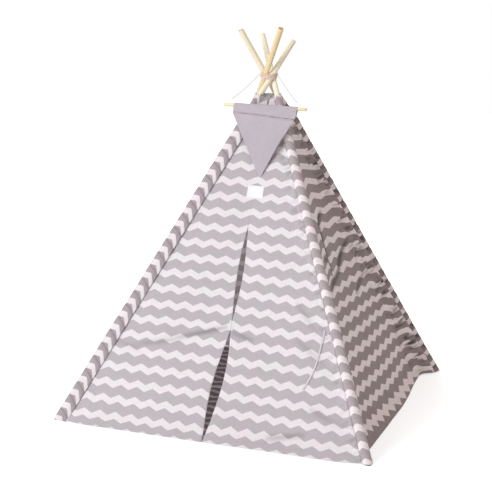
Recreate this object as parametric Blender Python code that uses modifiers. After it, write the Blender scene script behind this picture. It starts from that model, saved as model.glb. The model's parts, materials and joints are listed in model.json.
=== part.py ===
"""A child's play teepee. Four jointed pine poles stand in a square, cross near the top and are lashed
with rope. A cotton cover slides over them with a sleeve on each pole, and a mat lies on the floor inside.
Its front has a slit door with two flaps, and a cloth pennant on a stick hangs above the door.
Metres, +Z up, the door faces -Y, and the origin is on the floor under the crossing."""

import math

import bmesh
import bpy
from mathutils import Matrix, Vector

MM = 0.001

# Main sizes
base_side = 1200 * MM
crossing_height = 1282 * MM
cover_drop = 67 * MM
clearance = 0.3 * MM

# Poles
pole_diameter = 22 * MM
pole_spacing = 0.4 * MM
pole_section = 580 * MM
pole_chamfer = 1.5 * MM
pole_above_crossing = {"fl": 170 * MM, "fr": 189 * MM, "rr": 213 * MM, "rl": 229 * MM}
pole_foot_gap = 14 * MM
pole_sides = 16

# Ferrules that join the pole sections
ferrule_wall = 0.9 * MM
ferrule_length = 90 * MM
ferrule_bead = 0.6 * MM
ferrule_bead_length = 5 * MM

# Foot caps
foot_cap_wall = 3 * MM
foot_cap_length = 42 * MM
foot_cap_lip = 1 * MM
foot_cap_lip_length = 6 * MM
floor_cutter_depth = 60 * MM

# Cover cloth and pole sleeves
cloth_thickness = 1.2 * MM
sleeve_slack = 6.4 * MM
sleeve_top_slack = 2 * MM
sleeve_taper = 120 * MM
sleeve_pucker = 0.8 * MM
sleeve_puckers = 6
sleeve_points = 14
hem_corner_height = 12 * MM
hem_middle_height = 2 * MM

# How far each side sags in, bows in at its hem and turns out again at the floor. The front is drawn in
# at the top of its slit, and its flaps sag on from there
cover_sag = {"front": 14 * MM, "right": 24 * MM, "back": 20 * MM, "left": 20 * MM}
slit_draw = 20 * MM
hem_bow = {"front": 0 * MM, "right": 42 * MM, "back": 26 * MM, "left": 26 * MM}
hem_flare = {"front": 3 * MM, "right": 20 * MM, "back": 12 * MM, "left": 12 * MM}
hem_flare_height = 45 * MM
hem_bow_fade = 4

# Main folds of the cover: where each starts and ends, as shares across and up its side
fold_width = 42 * MM
fold_depth = 9 * MM
fold_shares = {
    "front": [((0.26, 0.27), (0.36, 0.285)), ((0.58, 0.075), (0.78, 0.055))],
    "right": [((0.86, 0.50), (0.44, 0.465)), ((0.44, 0.465), (0.08, 0.455)),
              ((0.33, 0.57), (0.28, 0.47))],
    "back": [((0.10, 0.42), (0.55, 0.33)), ((0.55, 0.33), (0.92, 0.40))],
    "left": [((0.10, 0.36), (0.60, 0.44)), ((0.35, 0.18), (0.90, 0.24))],
}
panel_columns = 14
panel_rows = 22
panel_row_bias = 1.4

# Floor mat: how far its cut corners stay from the poles, as a share of each side
mat_thickness = 3 * MM
mat_corner_share = 0.05
mat_columns = 14

# Door
slit_top = 738 * MM
slit_clearance = 1 * MM
slit_upper_gape = 22 * MM
slit_lower_gape = 38 * MM
flap_hinge_offset = 15 * MM
flap_tip_gap = 12 * MM
door_columns = 8
door_rows = 12
upper_rows = 10

# Hook and loop tabs that hold the flaps together
tab_height = 388 * MM
tab_length = 34 * MM
tab_width = 9 * MM
tab_thickness = 1 * MM
tab_columns = 1
tab_rows = 2

# Blank label sewn above the door
label_width = 70 * MM
label_length = 48 * MM
label_thickness = 0.8 * MM
label_height = 868 * MM
label_columns = 4
label_rows = 3

# Tie tape for the right flap: places as shares across the front and of the cover's height
tape_width = 9 * MM
tape_thickness = 0.8 * MM
tape_lift = 0.6 * MM
tape_rows = 10
tape_path_shares = [(0.968, 0.339), (0.935, 0.315), (0.905, 0.270),
                    (0.873, 0.225), (0.843, 0.190), (0.815, 0.166)]

# Lashing
rope_diameter = 4 * MM
rope_gap = 0.6 * MM
rope_turns = 4.5
rope_loop_points = 24
lashing_drop = 4 * MM

# Pennant
bar_diameter = 15 * MM
bar_overhang = 32.5 * MM
bar_drop = 108 * MM
bar_chamfer = 1 * MM
bar_sides = 16
pennant_width = 266 * MM
pennant_length = 272 * MM
pennant_tip_width = 6 * MM
pennant_cloth = 0.8 * MM
pennant_stand_off = 5
pennant_pocket = 32 * MM
pennant_tip_lean = 20 * MM
pennant_columns = 12
pocket_rows = 3
loop_rows = 8
hang_rows = 12
string_diameter = 2 * MM
string_gap = 8 * MM
string_loop_gap = 2.65 * MM
string_loop_points = 24
string_loop_turn = 200
string_points = 8
string_slack = 6 * MM
bar_rest_points = 24

# A right angle, in degrees
quarter = 90

# Edges sharper than these angles stay crisp on solid pieces and on folded cloth
solid_edge = 35
cloth_edge = 60

# The corners by their headings, and each side by its corners, left to right from outside, and heading
corners = {"fl": 225, "fr": 315, "rr": 45, "rl": 135}
sides = {
    "front": ("fl", "fr", 270),
    "right": ("fr", "rr", 0),
    "back": ("rr", "rl", 90),
    "left": ("rl", "fl", 180),
}

splay = math.atan2(base_side / math.sqrt(2), crossing_height)
side_tilt = math.atan2(base_side / 2, crossing_height)
pole_radius = pole_diameter / 2
bundle_radius = (pole_diameter + pole_spacing) * math.sqrt(1 + math.cos(splay) ** 2) / (2 * math.cos(splay))
pole_below_crossing = crossing_height / math.cos(splay)
cover_height = crossing_height - cover_drop
foot_cap_radius = pole_radius + clearance + foot_cap_wall
ferrule_radius = pole_radius + clearance + ferrule_wall + ferrule_bead
sleeve_depth = 2 * (foot_cap_radius + foot_cap_lip + clearance + cloth_thickness)
sleeve_width = sleeve_depth + sleeve_slack
sleeve_top_depth = 2 * (ferrule_radius + clearance + cloth_thickness)
sleeve_top_width = sleeve_top_depth + sleeve_top_slack
rope_pitch = rope_diameter + rope_gap
lashing_top = crossing_height - lashing_drop + (rope_turns * rope_pitch + rope_diameter) / 2
bar_height = crossing_height - bar_drop
string_inset = pennant_width / 2 + string_gap
bar_length = 2 * (string_inset + bar_overhang)


def heading(angle):
    """Level unit vector at an angle in degrees from +X."""
    turn = math.radians(angle)
    return Vector((math.cos(turn), math.sin(turn), 0))


def up(height):
    """Point on the middle axis at a height."""
    return Vector((0, 0, height))


def ease(share):
    """Smooth step from 0 to 1."""
    share = max(0, min(1, share))
    return share * share * (3 - 2 * share)


def pole_point(corner, height):
    """Middle of a pole at a height above the floor."""
    reach = (crossing_height - height) * math.tan(splay)
    return heading(corners[corner]) * reach + heading(corners[corner] + quarter) * bundle_radius + up(height)


def pole_frame(corner):
    """Frame of a pole at the crossing: X square to it and out, Y sideways, Z up along it."""
    out = heading(corners[corner])
    side = heading(corners[corner] + quarter)
    along = up(math.cos(splay)) - out * math.sin(splay)
    square = out * math.cos(splay) + up(math.sin(splay))
    frame = Matrix((square, side, along)).transposed().to_4x4()
    frame.translation = pole_point(corner, crossing_height)
    return frame


def sleeve_half_sizes(height):
    """Half width and half depth of the outside of a sleeve at a height."""
    below_top = (cover_height - height) / math.cos(splay)
    share = ease(below_top / sleeve_taper)
    width = sleeve_top_width + (sleeve_width - sleeve_top_width) * share
    depth = sleeve_top_depth + (sleeve_depth - sleeve_top_depth) * share
    return width / 2, depth / 2


def seam_point(corner, side, height):
    """Seam of the cover on a sleeve. side is 1 for the edge towards the next corner, -1 for the other."""
    half_width = sleeve_half_sizes(height)[0]
    reach = half_width + clearance + cloth_thickness / 2
    return pole_point(corner, height) + heading(corners[corner] + quarter) * side * reach


def side_width(height):
    """Rough width of one side of the cover at a height."""
    return base_side * (1 - height / crossing_height)


def fold_at(side, across, height):
    """How deep the main folds press the cover in at a place."""
    x = (across - 1 / 2) * side_width(height)
    deepest = 0
    for start, end in fold_shares[side]:
        line = []
        for share_across, share_up in (start, end):
            level = share_up * cover_height
            line.append(Vector(((share_across - 1 / 2) * side_width(level), level)))
        run = line[1] - line[0]
        place = Vector((x, height))
        along = max(0, min(1, (place - line[0]).dot(run) / run.length_squared))
        away = (place - line[0] - run * along).length / fold_width
        deepest = max(deepest, math.exp(-away * away))
    return deepest * fold_depth * math.sin(math.pi * across)


def front_width(height):
    """Width of the front between its seams at a height."""
    return (seam_point("fr", -1, height) - seam_point("fl", 1, height)).length


def mirrored(hand, across):
    """Place across the front for the left or the right half."""
    return across if hand == "left" else 1 - across


def slit_head(height):
    """Middle of the front at a height above the slit, drawn in most at the top of the slit."""
    middle = seam_point("fl", 1, height).lerp(seam_point("fr", -1, height), 1 / 2)
    draw = slit_draw * (cover_height - height) / (cover_height - slit_top)
    return middle - heading(sides["front"][2]) * draw


def fold_line(hand, height):
    """Point of the straight line that a flap folds on, from the foot of the pole to the top of the slit."""
    inset = flap_hinge_offset / front_width(hem_corner_height)
    foot = seam_point("fl", 1, hem_corner_height).lerp(seam_point("fr", -1, hem_corner_height),
                                                      mirrored(hand, inset))
    share = (height - hem_corner_height) / (slit_top - hem_corner_height)
    return foot.lerp(slit_head(slit_top), share)


def hinge_across(height):
    """Where the left fold line lies across the front at a height."""
    left = seam_point("fl", 1, height)
    run = seam_point("fr", -1, height) - left
    return (fold_line("left", height) - left).dot(run) / run.length_squared


def front_point(across, height):
    """Point of the front: flat from each seam to the fold line or the middle, and a belly between the
    fold lines that is deepest at the slit."""
    left = seam_point("fl", 1, height)
    right = seam_point("fr", -1, height)
    if height >= slit_top:
        if across <= 1 / 2:
            return left.lerp(slit_head(height), 2 * across)
        return slit_head(height).lerp(right, 2 * across - 1)
    hinge = hinge_across(height)
    if across <= hinge:
        return left.lerp(fold_line("left", height), across / hinge)
    if across >= 1 - hinge:
        return fold_line("right", height).lerp(right, (across - 1 + hinge) / hinge)
    share = (across - hinge) / (1 - 2 * hinge)
    belly = math.sin(math.pi * share) * math.sin(math.pi * max(0, height / slit_top))
    place = fold_line("left", height).lerp(fold_line("right", height), share)
    return place - heading(sides["front"][2]) * cover_sag["front"] * belly


def cover_point(side, across, height, proud=0):
    """Point of the cover's middle surface. across goes from 0 to 1, left to right seen from outside."""
    first, second, facing = sides[side]
    level = height / cover_height
    belly = math.sin(math.pi * max(0, min(1, across)))
    inward = hem_bow[side] * belly * max(0, 1 - level) ** hem_bow_fade
    inward -= hem_flare[side] * belly * max(0, 1 - height / hem_flare_height) ** 2
    inward += fold_at(side, across, height)
    if side == "front":
        place = front_point(across, height)
    else:
        place = seam_point(first, 1, height).lerp(seam_point(second, -1, height), across)
        inward += cover_sag[side] * belly * math.sin(math.pi * max(0, min(1, level)))
    outward = heading(facing) * math.cos(side_tilt) + up(math.sin(side_tilt))
    return place - heading(facing) * inward + outward * proud


def hem_height(across):
    """Height of the cover's bottom edge."""
    return hem_corner_height - (hem_corner_height - hem_middle_height) * math.sin(math.pi * across)


def slit_half_gap(height):
    """Half the gap between the door flaps at a height. They meet at the floor, the tabs and the top."""
    tab_top = tab_height + tab_length / 2
    tab_bottom = tab_height - tab_length / 2
    if height >= tab_top:
        gape = slit_upper_gape * math.sin(math.pi * min(1, (height - tab_top) / (slit_top - tab_top)))
    elif height <= tab_bottom:
        gape = slit_lower_gape * math.sin(math.pi * max(0, height - hem_middle_height) / tab_bottom)
    else:
        gape = 0
    return (slit_clearance + max(0, gape)) / 2


def material(name, colour, roughness, metallic=0):
    """Plain surface of one colour."""
    made = bpy.data.materials.new(name)
    made.use_nodes = True
    shader = made.node_tree.nodes["Principled BSDF"]
    shader.inputs["Base Color"].default_value = (*colour, 1)
    shader.inputs["Roughness"].default_value = roughness
    shader.inputs["Metallic"].default_value = metallic
    return made


def empty_at(name, frame, parent=None):
    """Empty on a joint's axis, for the pieces that move about it."""
    made = bpy.data.objects.new(name, None)
    parts.objects.link(made)
    made.empty_display_size = pole_diameter
    if parent:
        made.parent = parent
        made.matrix_parent_inverse = frames[parent.name].inverted()
    made.matrix_basis = frame
    frames[name] = frame
    return made


def finish(piece, look, parent=None, local=False, edge=solid_edge):
    """Gives a piece its look, its parent and smooth shading with sharp edges kept."""
    piece.data.materials.clear()
    piece.data.materials.append(look)
    for collection in list(piece.users_collection):
        collection.objects.unlink(piece)
    parts.objects.link(piece)
    if parent:
        piece.parent = parent
        if not local:
            piece.matrix_parent_inverse = frames[parent.name].inverted()
    if piece.type == "MESH":
        piece.data.shade_smooth()
        piece.data.set_sharp_from_angle(angle=math.radians(edge))
    return piece


def turned(name, profile, count):
    """Turned piece round its local Z. profile lists (radius, height) down its outer side and up its bore."""
    mesh = bpy.data.meshes.new(name)
    outline = bmesh.new()
    points = [outline.verts.new((radius, 0, height)) for radius, height in profile]
    for first, second in zip(points, points[1:] + points[:1]):
        if first.co.x or second.co.x:
            outline.edges.new((first, second))
    outline.to_mesh(mesh)
    outline.free()
    piece = bpy.data.objects.new(name, mesh)
    parts.objects.link(piece)
    screw = piece.modifiers.new("turn", "SCREW")
    screw.steps = screw.render_steps = count
    screw.use_merge_vertices = True
    screw.merge_threshold = clearance / 10
    return piece


def sheet(name, place, columns, rows, thickness):
    """Sheet of cloth: a flat grid mapped by place(across, up), both from 0 to 1, and given a thickness."""
    bpy.ops.mesh.primitive_grid_add(x_subdivisions=columns, y_subdivisions=rows, size=1)
    piece = bpy.context.object
    piece.name = piece.data.name = name
    for vertex in piece.data.vertices:
        vertex.co = place(vertex.co.x + 1 / 2, vertex.co.y + 1 / 2)
    solid = piece.modifiers.new("cloth", "SOLIDIFY")
    solid.thickness = thickness
    solid.offset = 0
    return piece


def tube(name, points, diameter, resolution):
    """Round cord along points, with closed ends."""
    curve = bpy.data.curves.new(name, "CURVE")
    curve.dimensions = "3D"
    curve.bevel_depth = diameter / 2
    curve.bevel_resolution = resolution
    curve.use_fill_caps = True
    line = curve.splines.new("POLY")
    line.points.add(len(points) - 1)
    for knot, place in zip(line.points, points):
        knot.co = (*place, 1)
    piece = bpy.data.objects.new(name, curve)
    parts.objects.link(piece)
    return piece


def bar(name, radius, length, count, chamfer):
    """Round stick along local Z, centred, with chamfered ends."""
    bpy.ops.mesh.primitive_cylinder_add(vertices=count, radius=radius, depth=length)
    piece = bpy.context.object
    piece.name = piece.data.name = name
    edges = piece.modifiers.new("chamfer", "BEVEL")
    edges.width = chamfer
    edges.segments = 1
    edges.limit_method = "ANGLE"
    edges.angle_limit = math.radians(solid_edge)
    return piece


def make_pole(corner):
    """One pole: three wood sections, two ferrules and a foot cap, all on the pole's own axis."""
    frame = empty_at("pole_" + corner, pole_frame(corner))
    foot = -pole_below_crossing
    top = pole_above_crossing[corner]
    breaks = [foot + pole_foot_gap, foot + pole_section, foot + 2 * pole_section, top]
    for number, part in enumerate(("lower", "middle", "upper")):
        low = breaks[number] + (clearance if number else 0)
        high = breaks[number + 1] - (clearance if number < 2 else 0)
        wood = bar(f"pole_{corner}_{part}", pole_radius, high - low, pole_sides, pole_chamfer)
        wood.location = (0, 0, (low + high) / 2)
        finish(wood, pine, frame, local=True)
    for part, middle in (("lower", breaks[1]), ("upper", breaks[2])):
        make_ferrule(f"ferrule_{corner}_{part}", frame, middle)
    make_foot_cap("foot_cap_" + corner, frame, foot)


def make_ferrule(name, frame, middle):
    """Thin metal tube over the butted ends of two sections, with a rolled bead at each end."""
    bore = pole_radius + clearance
    outside = ferrule_radius - ferrule_bead
    crown = ferrule_radius
    half = ferrule_length / 2
    crest = half - ferrule_bead_length / 2
    neck = half - ferrule_bead_length
    piece = turned(name, [(outside, half), (crown, crest), (outside, neck), (outside, -neck),
                          (crown, -crest), (outside, -half), (bore, -half), (bore, half)], pole_sides)
    piece.location = (0, 0, middle)
    finish(piece, aluminium, frame, local=True)


def make_foot_cap(name, frame, foot):
    """Rubber cup on the end of a pole, with a lip at its mouth and its sole cut level with the floor."""
    bore = pole_radius + clearance
    mouth = foot_cap_length
    lip = foot_cap_radius + foot_cap_lip
    floor = pole_foot_gap - clearance
    end = -floor_cutter_depth / 2
    piece = turned(name, [(lip, mouth), (lip, mouth - foot_cap_lip_length / 2),
                          (foot_cap_radius, mouth - foot_cap_lip_length), (foot_cap_radius, end), (0, end),
                          (0, floor), (bore, floor), (bore, mouth)], pole_sides)
    piece.location = (0, 0, foot)
    cut = piece.modifiers.new("sole", "BOOLEAN")
    cut.operation = "DIFFERENCE"
    cut.object = floor_cutter
    finish(piece, rubber, frame, local=True)


def make_sleeve(corner):
    """Cloth tube on a pole, with soft puckers. Its bottom and top edges are level."""
    frame = empty_at("sleeve_hold_" + corner, pole_frame(corner), bpy.data.objects["pole_" + corner])
    name = "sleeve_" + corner
    mesh = bpy.data.meshes.new(name)
    cloth = bmesh.new()
    rings = []
    last = 2 * sleeve_puckers
    for ring in range(last + 1):
        height = hem_corner_height + (cover_height - hem_corner_height) * ring / last
        half_width, half_depth = (size - cloth_thickness for size in sleeve_half_sizes(height))
        pucker = sleeve_pucker * (ring % 2)
        points = []
        for number in range(sleeve_points):
            turn = 2 * math.pi * number / sleeve_points
            out = half_depth * math.cos(turn)
            side = (half_width - pucker) * math.sin(turn)
            along = (height - crossing_height - out * math.sin(splay)) / math.cos(splay)
            points.append(cloth.verts.new((out, side, along)))
        rings.append(points)
    for lower, upper in zip(rings, rings[1:]):
        for number in range(sleeve_points):
            after = (number + 1) % sleeve_points
            cloth.faces.new((lower[number], lower[after], upper[after], upper[number]))
    cloth.to_mesh(mesh)
    cloth.free()
    piece = bpy.data.objects.new(name, mesh)
    parts.objects.link(piece)
    solid = piece.modifiers.new("cloth", "SOLIDIFY")
    solid.thickness = cloth_thickness
    solid.offset = 1
    finish(piece, cotton, frame, local=True)


def make_panel(side):
    """Whole side of the cover, from hem to top, between two sleeves."""
    def place(across, share):
        low = hem_height(across)
        return cover_point(side, across, low + (cover_height - low) * share ** panel_row_bias)
    return finish(sheet("cover_" + side, place, panel_columns, panel_rows, cloth_thickness), cotton)


def make_mat():
    """Padded mat on the floor, cut to the inside of the hems, with its corners cut off at the poles."""
    mesh = bpy.data.meshes.new("floor_mat")
    cloth = bmesh.new()
    points = []
    for side in sides:
        inset = heading(sides[side][2]) * (cloth_thickness + clearance)
        for number in range(mat_columns + 1):
            across = mat_corner_share + (1 - 2 * mat_corner_share) * number / mat_columns
            place = cover_point(side, across, mat_thickness) - inset
            points.append(cloth.verts.new((place.x, place.y, 0)))
    middle = cloth.verts.new((0, 0, 0))
    for first, second in zip(points, points[1:] + points[:1]):
        cloth.faces.new((first, second, middle))
    cloth.to_mesh(mesh)
    cloth.free()
    piece = bpy.data.objects.new("floor_mat", mesh)
    parts.objects.link(piece)
    solid = piece.modifiers.new("cloth", "SOLIDIFY")
    solid.thickness = mat_thickness
    solid.offset = 1
    finish(piece, cotton)


def front_piece(name, hand, outer, inner, level, columns, rows, thickness, proud=0):
    """Sheet on the front from outer(height) to inner(height), given as shares across for the left half.
    level(share, low) is the height of a row that starts at the bottom edge, low."""
    def place(across, share):
        start = outer(hem_corner_height)
        reach = start + (inner(hem_corner_height) - start) * across
        height = level(share, hem_height(reach))
        start = outer(height)
        reach = start + (inner(height) - start) * across
        return cover_point("front", mirrored(hand, reach), height, proud)
    return sheet(name, place, columns, rows, thickness)


def make_front_half(hand):
    """Half of the front: the sewn web beside the slit and the loose flap below it."""
    corner = "fl" if hand == "left" else "fr"
    pole = bpy.data.objects["pole_" + corner]
    web_hold = empty_at("web_hinge_" + hand, seam_frame(hand), pole)
    flap_hold = empty_at("flap_hinge_" + hand, flap_frame(hand), web_hold)
    sewn_share = door_rows / (door_rows + upper_rows)

    def web_level(share, low):
        if share <= sewn_share:
            return low + (slit_top - low) * share / sewn_share
        return slit_top + (cover_height - slit_top) * (share - sewn_share) / (1 - sewn_share)

    def web_inner(height):
        if height >= slit_top:
            return 1 / 2 - slit_clearance / 2 / front_width(height)
        return hinge_across(height) - slit_clearance / 2 / front_width(height)

    web = front_piece("front_web_" + hand, hand, lambda height: 0, web_inner, web_level,
                      door_columns, door_rows + upper_rows, cloth_thickness)
    finish(web, cotton, web_hold)

    def flap_level(share, low):
        return low + (slit_top - flap_tip_gap - low) * share

    def flap_outer(height):
        return hinge_across(height) + slit_clearance / 2 / front_width(height)

    def flap_inner(height):
        return 1 / 2 - slit_half_gap(height) / front_width(height)

    flap = front_piece("door_flap_" + hand, hand, flap_outer, flap_inner, flap_level,
                       door_columns, door_rows, cloth_thickness)
    finish(flap, cotton, flap_hold)

    def tab_outer(height):
        return flap_inner(height) - tab_width / front_width(height)

    def tab_level(share, low):
        return tab_height + tab_length * (share - 1 / 2)

    proud = cloth_thickness / 2 + clearance + tab_thickness / 2
    tab = front_piece("closure_tab_" + hand, hand, tab_outer, flap_inner, tab_level,
                      tab_columns, tab_rows, tab_thickness, proud)
    finish(tab, hook_tape, flap_hold)
    return web_hold


def seam_frame(hand):
    """Frame on the seam between a front sleeve and the web, Z up along the pole."""
    corner = "fl" if hand == "left" else "fr"
    side = 1 if hand == "left" else -1
    frame = pole_frame(corner)
    reach = sleeve_width / 2 + clearance + cloth_thickness / 2
    frame.translation = frame.translation + heading(corners[corner] + quarter) * side * reach
    return frame


def flap_frame(hand):
    """Frame on the outer face of the cloth at the foot of a flap's fold line, Z up along the line."""
    foot = fold_line(hand, hem_corner_height)
    along = (fold_line(hand, slit_top) - foot).normalized()
    out = heading(sides["front"][2])
    side = along.cross(out).normalized()
    square = side.cross(along)
    frame = Matrix((square, side, along)).transposed().to_4x4()
    frame.translation = foot + square * cloth_thickness / 2
    return frame


def make_label(hold):
    """Blank label over the middle of the front."""
    proud = cloth_thickness / 2 + clearance + label_thickness / 2

    def place(across, share):
        height = label_height + label_length * math.cos(side_tilt) * (share - 1 / 2)
        reach = 1 / 2 + (across - 1 / 2) * label_width / front_width(height)
        return cover_point("front", reach, height, proud)
    label = sheet("label_patch", place, label_columns, label_rows, label_thickness)
    finish(label, label_cloth, hold)


def make_tape(hold):
    """Narrow tie tape for the right flap, sewn at the seam, that hangs down over the front."""
    proud = cloth_thickness / 2 + tape_lift + tape_thickness / 2
    last = len(tape_path_shares) - 1

    def place(across, share):
        spot = share * last
        low = min(int(spot), last - 1)
        pair = [Vector(item) for item in tape_path_shares[low:low + 2]]
        middle = pair[0].lerp(pair[1], spot - low)
        run = pair[1] - pair[0]
        height = middle.y * cover_height
        run = Vector((run.x * front_width(height), run.y * cover_height)).normalized()
        shift = (across - 1 / 2) * tape_width
        level = height + shift * run.x
        reach = middle.x - shift * run.y / front_width(level)
        return cover_point("front", reach, level, proud)
    tape = sheet("tie_tape", place, 1, tape_rows, tape_thickness)
    finish(tape, tape_cloth, hold)


def bundle_reach(rise):
    """Distance from the middle axis to the outermost wood, at a height over the crossing."""
    offset = rise * math.tan(splay)
    middle = math.hypot(bundle_radius, offset)
    lean = math.atan2(abs(offset), bundle_radius)
    width = math.hypot(pole_radius * math.cos(lean), pole_radius / math.cos(splay) * math.sin(lean))
    return middle + width


def make_lashing():
    """Rope wound round the crossing in one unbroken helix that follows the waist of the poles."""
    count = round(rope_turns * rope_loop_points)
    points = []
    for number in range(count + 1):
        turn = number / rope_loop_points
        rise = (turn - rope_turns / 2) * rope_pitch - lashing_drop
        edge = max(bundle_reach(rise - rope_diameter / 2), bundle_reach(rise + rope_diameter / 2))
        reach = edge + clearance + rope_diameter / 2
        points.append(heading(quarter * (4 * turn - 1)) * reach + up(crossing_height + rise))
    ends = [points[0] + (points[0] - points[1]).normalized() * rope_diameter,
            points[-1] + (points[-1] - points[-2]).normalized() * rope_diameter]
    rope = tube("lashing_rope", [ends[0], *points, ends[1]], rope_diameter, 1)
    finish(rope, rope_look)
    half_turn = round(rope_loop_points / 2)
    least = min((points[a] - points[b]).length
                for a in range(len(points)) for b in range(a + half_turn, len(points)))
    print(f"lashing: least gap of the rope to itself {(least - rope_diameter) / MM:.2f} mm")


def string_hinge():
    """Height and reach of the string loop round the poles above the lashing."""
    height = lashing_top + string_loop_gap + string_diameter / 2
    edge = bundle_reach(height - crossing_height + string_diameter / 2)
    return height, edge + clearance + string_diameter / 2


def bar_centre():
    """Middle of the pennant's stick, where its cloth rests on the front left sleeve."""
    pocket = bar_diameter / 2 + clearance + pennant_cloth + clearance
    lean = math.radians(sides["front"][2] - corners["fl"])
    reach = 0
    for number in range(bar_rest_points + 1):
        lift = pocket * (2 * number / bar_rest_points - 1)
        height = bar_height + lift
        half_width, half_depth = sleeve_half_sizes(height)
        sleeve = math.hypot(half_width * math.sin(lean), half_depth / math.cos(splay) * math.cos(lean))
        front = -pole_point("fl", height).y + sleeve
        reach = max(reach, front + math.sqrt(max(0, pocket * pocket - lift * lift)))
    middle = (seam_point("fl", 1, bar_height) + seam_point("fr", -1, bar_height)).x / 2
    return Vector((middle, -reach, bar_height))


def make_pennant():
    """Stick, cloth and the two string runs that hang it from the string loop."""
    height, reach = string_hinge()
    hold = empty_at("pennant_hinge", Matrix.Translation(up(height)))
    middle = bar_centre()
    stick = bar("pennant_bar", bar_diameter / 2, bar_length, bar_sides, bar_chamfer)
    stick.rotation_euler = (0, math.radians(quarter), 0)
    stick.location = middle
    finish(stick, pale_wood, hold)
    make_pennant_cloth(middle, hold)
    top_reach = reach + string_diameter + clearance
    for hand, sign in (("left", -1), ("right", 1)):
        start = Vector((sign * top_reach, 0, height))
        end = middle + Vector((sign * string_inset, 0, (bar_diameter + string_diameter) / 2 + clearance))
        points = []
        for number in range(string_points + 1):
            share = number / string_points
            sag = up(-string_slack * math.sin(math.pi * share))
            points.append(start.lerp(end, share) + sag)
        finish(tube("pennant_string_" + hand, points, string_diameter, 1), string_look, hold)


def make_pennant_cloth(middle, hold):
    """Triangle of cloth with a pocket round the stick. Rows go up its back, over the stick and down."""
    slope = side_tilt - math.radians(pennant_stand_off)
    down = Vector((0, -math.sin(slope), -math.cos(slope)))
    out = Vector((0, -math.cos(slope), math.sin(slope)))
    radius = bar_diameter / 2 + clearance + pennant_cloth / 2
    inset = radius - pennant_cloth - clearance
    seam = math.atan2(-pennant_pocket, inset)
    back = seam - math.acos(radius / math.hypot(inset, pennant_pocket))
    tangent = Vector((radius * math.cos(back), radius * math.sin(back)))
    rows = []
    for number in range(pocket_rows):
        share = number / pocket_rows
        rows.append((Vector((inset, -pennant_pocket)).lerp(tangent, share), pennant_pocket * (1 - share)))
    for number in range(loop_rows):
        turn = back - (back + 2 * math.pi) * number / loop_rows
        rows.append((Vector((radius * math.cos(turn), radius * math.sin(turn))), 0))
    for number in range(hang_rows + 1):
        drop = pennant_length * number / hang_rows
        rows.append((Vector((radius, -drop)), drop))
    last = len(rows) - 1

    def place(across, share):
        spot, drop = rows[round(share * last)]
        left = max(0, drop - pennant_pocket) / (pennant_length - pennant_pocket)
        width = pennant_width + (pennant_tip_width - pennant_width) * left
        lean = pennant_tip_lean * left
        shift = Vector(((across - 1 / 2) * width + lean, 0, 0))
        return middle + out * spot.x - down * spot.y + shift
    cloth = sheet("pennant_cloth", place, pennant_columns, last, pennant_cloth)
    finish(cloth, plain_cloth, hold, edge=cloth_edge)


def make_string_loop():
    """String round the back of the poles, above the lashing, that holds the pennant's two strings."""
    height, reach = string_hinge()
    points = []
    for number in range(string_loop_points + 1):
        angle = quarter + string_loop_turn * (1 / 2 - number / string_loop_points)
        points.append(heading(angle) * reach + up(height))
    finish(tube("pennant_loop", points, string_diameter, 1), string_look)


for leftover in list(bpy.data.objects):
    bpy.data.objects.remove(leftover)

parts = bpy.data.collections.new("Play teepee")
cutters = bpy.data.collections.new("Cutters")
bpy.context.scene.collection.children.link(parts)
bpy.context.scene.collection.children.link(cutters)
frames = {}

pine = material("Pine", (0.83, 0.68, 0.43), 0.55)
pale_wood = material("Pale wood", (0.87, 0.79, 0.55), 0.5)
aluminium = material("Aluminium", (0.75, 0.75, 0.76), 0.35, 1)
rubber = material("Dark rubber", (0.03, 0.03, 0.03), 0.8)
cotton = material("Printed cotton", (0.62, 0.58, 0.60), 0.9)
plain_cloth = material("Plain grey cotton", (0.57, 0.53, 0.58), 0.9)
label_cloth = material("White satin tape", (0.92, 0.90, 0.92), 0.6)
tape_cloth = material("White twill tape", (0.86, 0.84, 0.86), 0.85)
hook_tape = material("Hook and loop tape", (0.90, 0.88, 0.90), 0.95)
rope_look = material("Cotton rope", (0.82, 0.72, 0.64), 0.9)
string_look = material("White string", (0.88, 0.86, 0.86), 0.85)

bpy.ops.mesh.primitive_cube_add(size=1)
floor_cutter = bpy.context.object
floor_cutter.name = floor_cutter.data.name = "floor_cutter"
floor_cutter.dimensions = (2 * base_side, 2 * base_side, floor_cutter_depth)
floor_cutter.location = (0, 0, -floor_cutter_depth / 2)
floor_cutter.hide_render = True
floor_cutter.display_type = "WIRE"
bpy.context.collection.objects.unlink(floor_cutter)
cutters.objects.link(floor_cutter)

for corner in corners:
    make_pole(corner)
    make_sleeve(corner)
for side in ("right", "back", "left"):
    make_panel(side)
make_mat()
make_front_half("left")
right_hold = make_front_half("right")
make_label(right_hold)
make_tape(right_hold)
make_lashing()
make_string_loop()
make_pennant()
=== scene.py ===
"""Looks of a child's play teepee: printed cotton cover, pine poles, rope lashing and a cloth pennant.
Metres, +Z up, the door faces -Y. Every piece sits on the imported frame."""

import json
import math

import bpy
from mathutils import Matrix, Vector, noise


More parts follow.
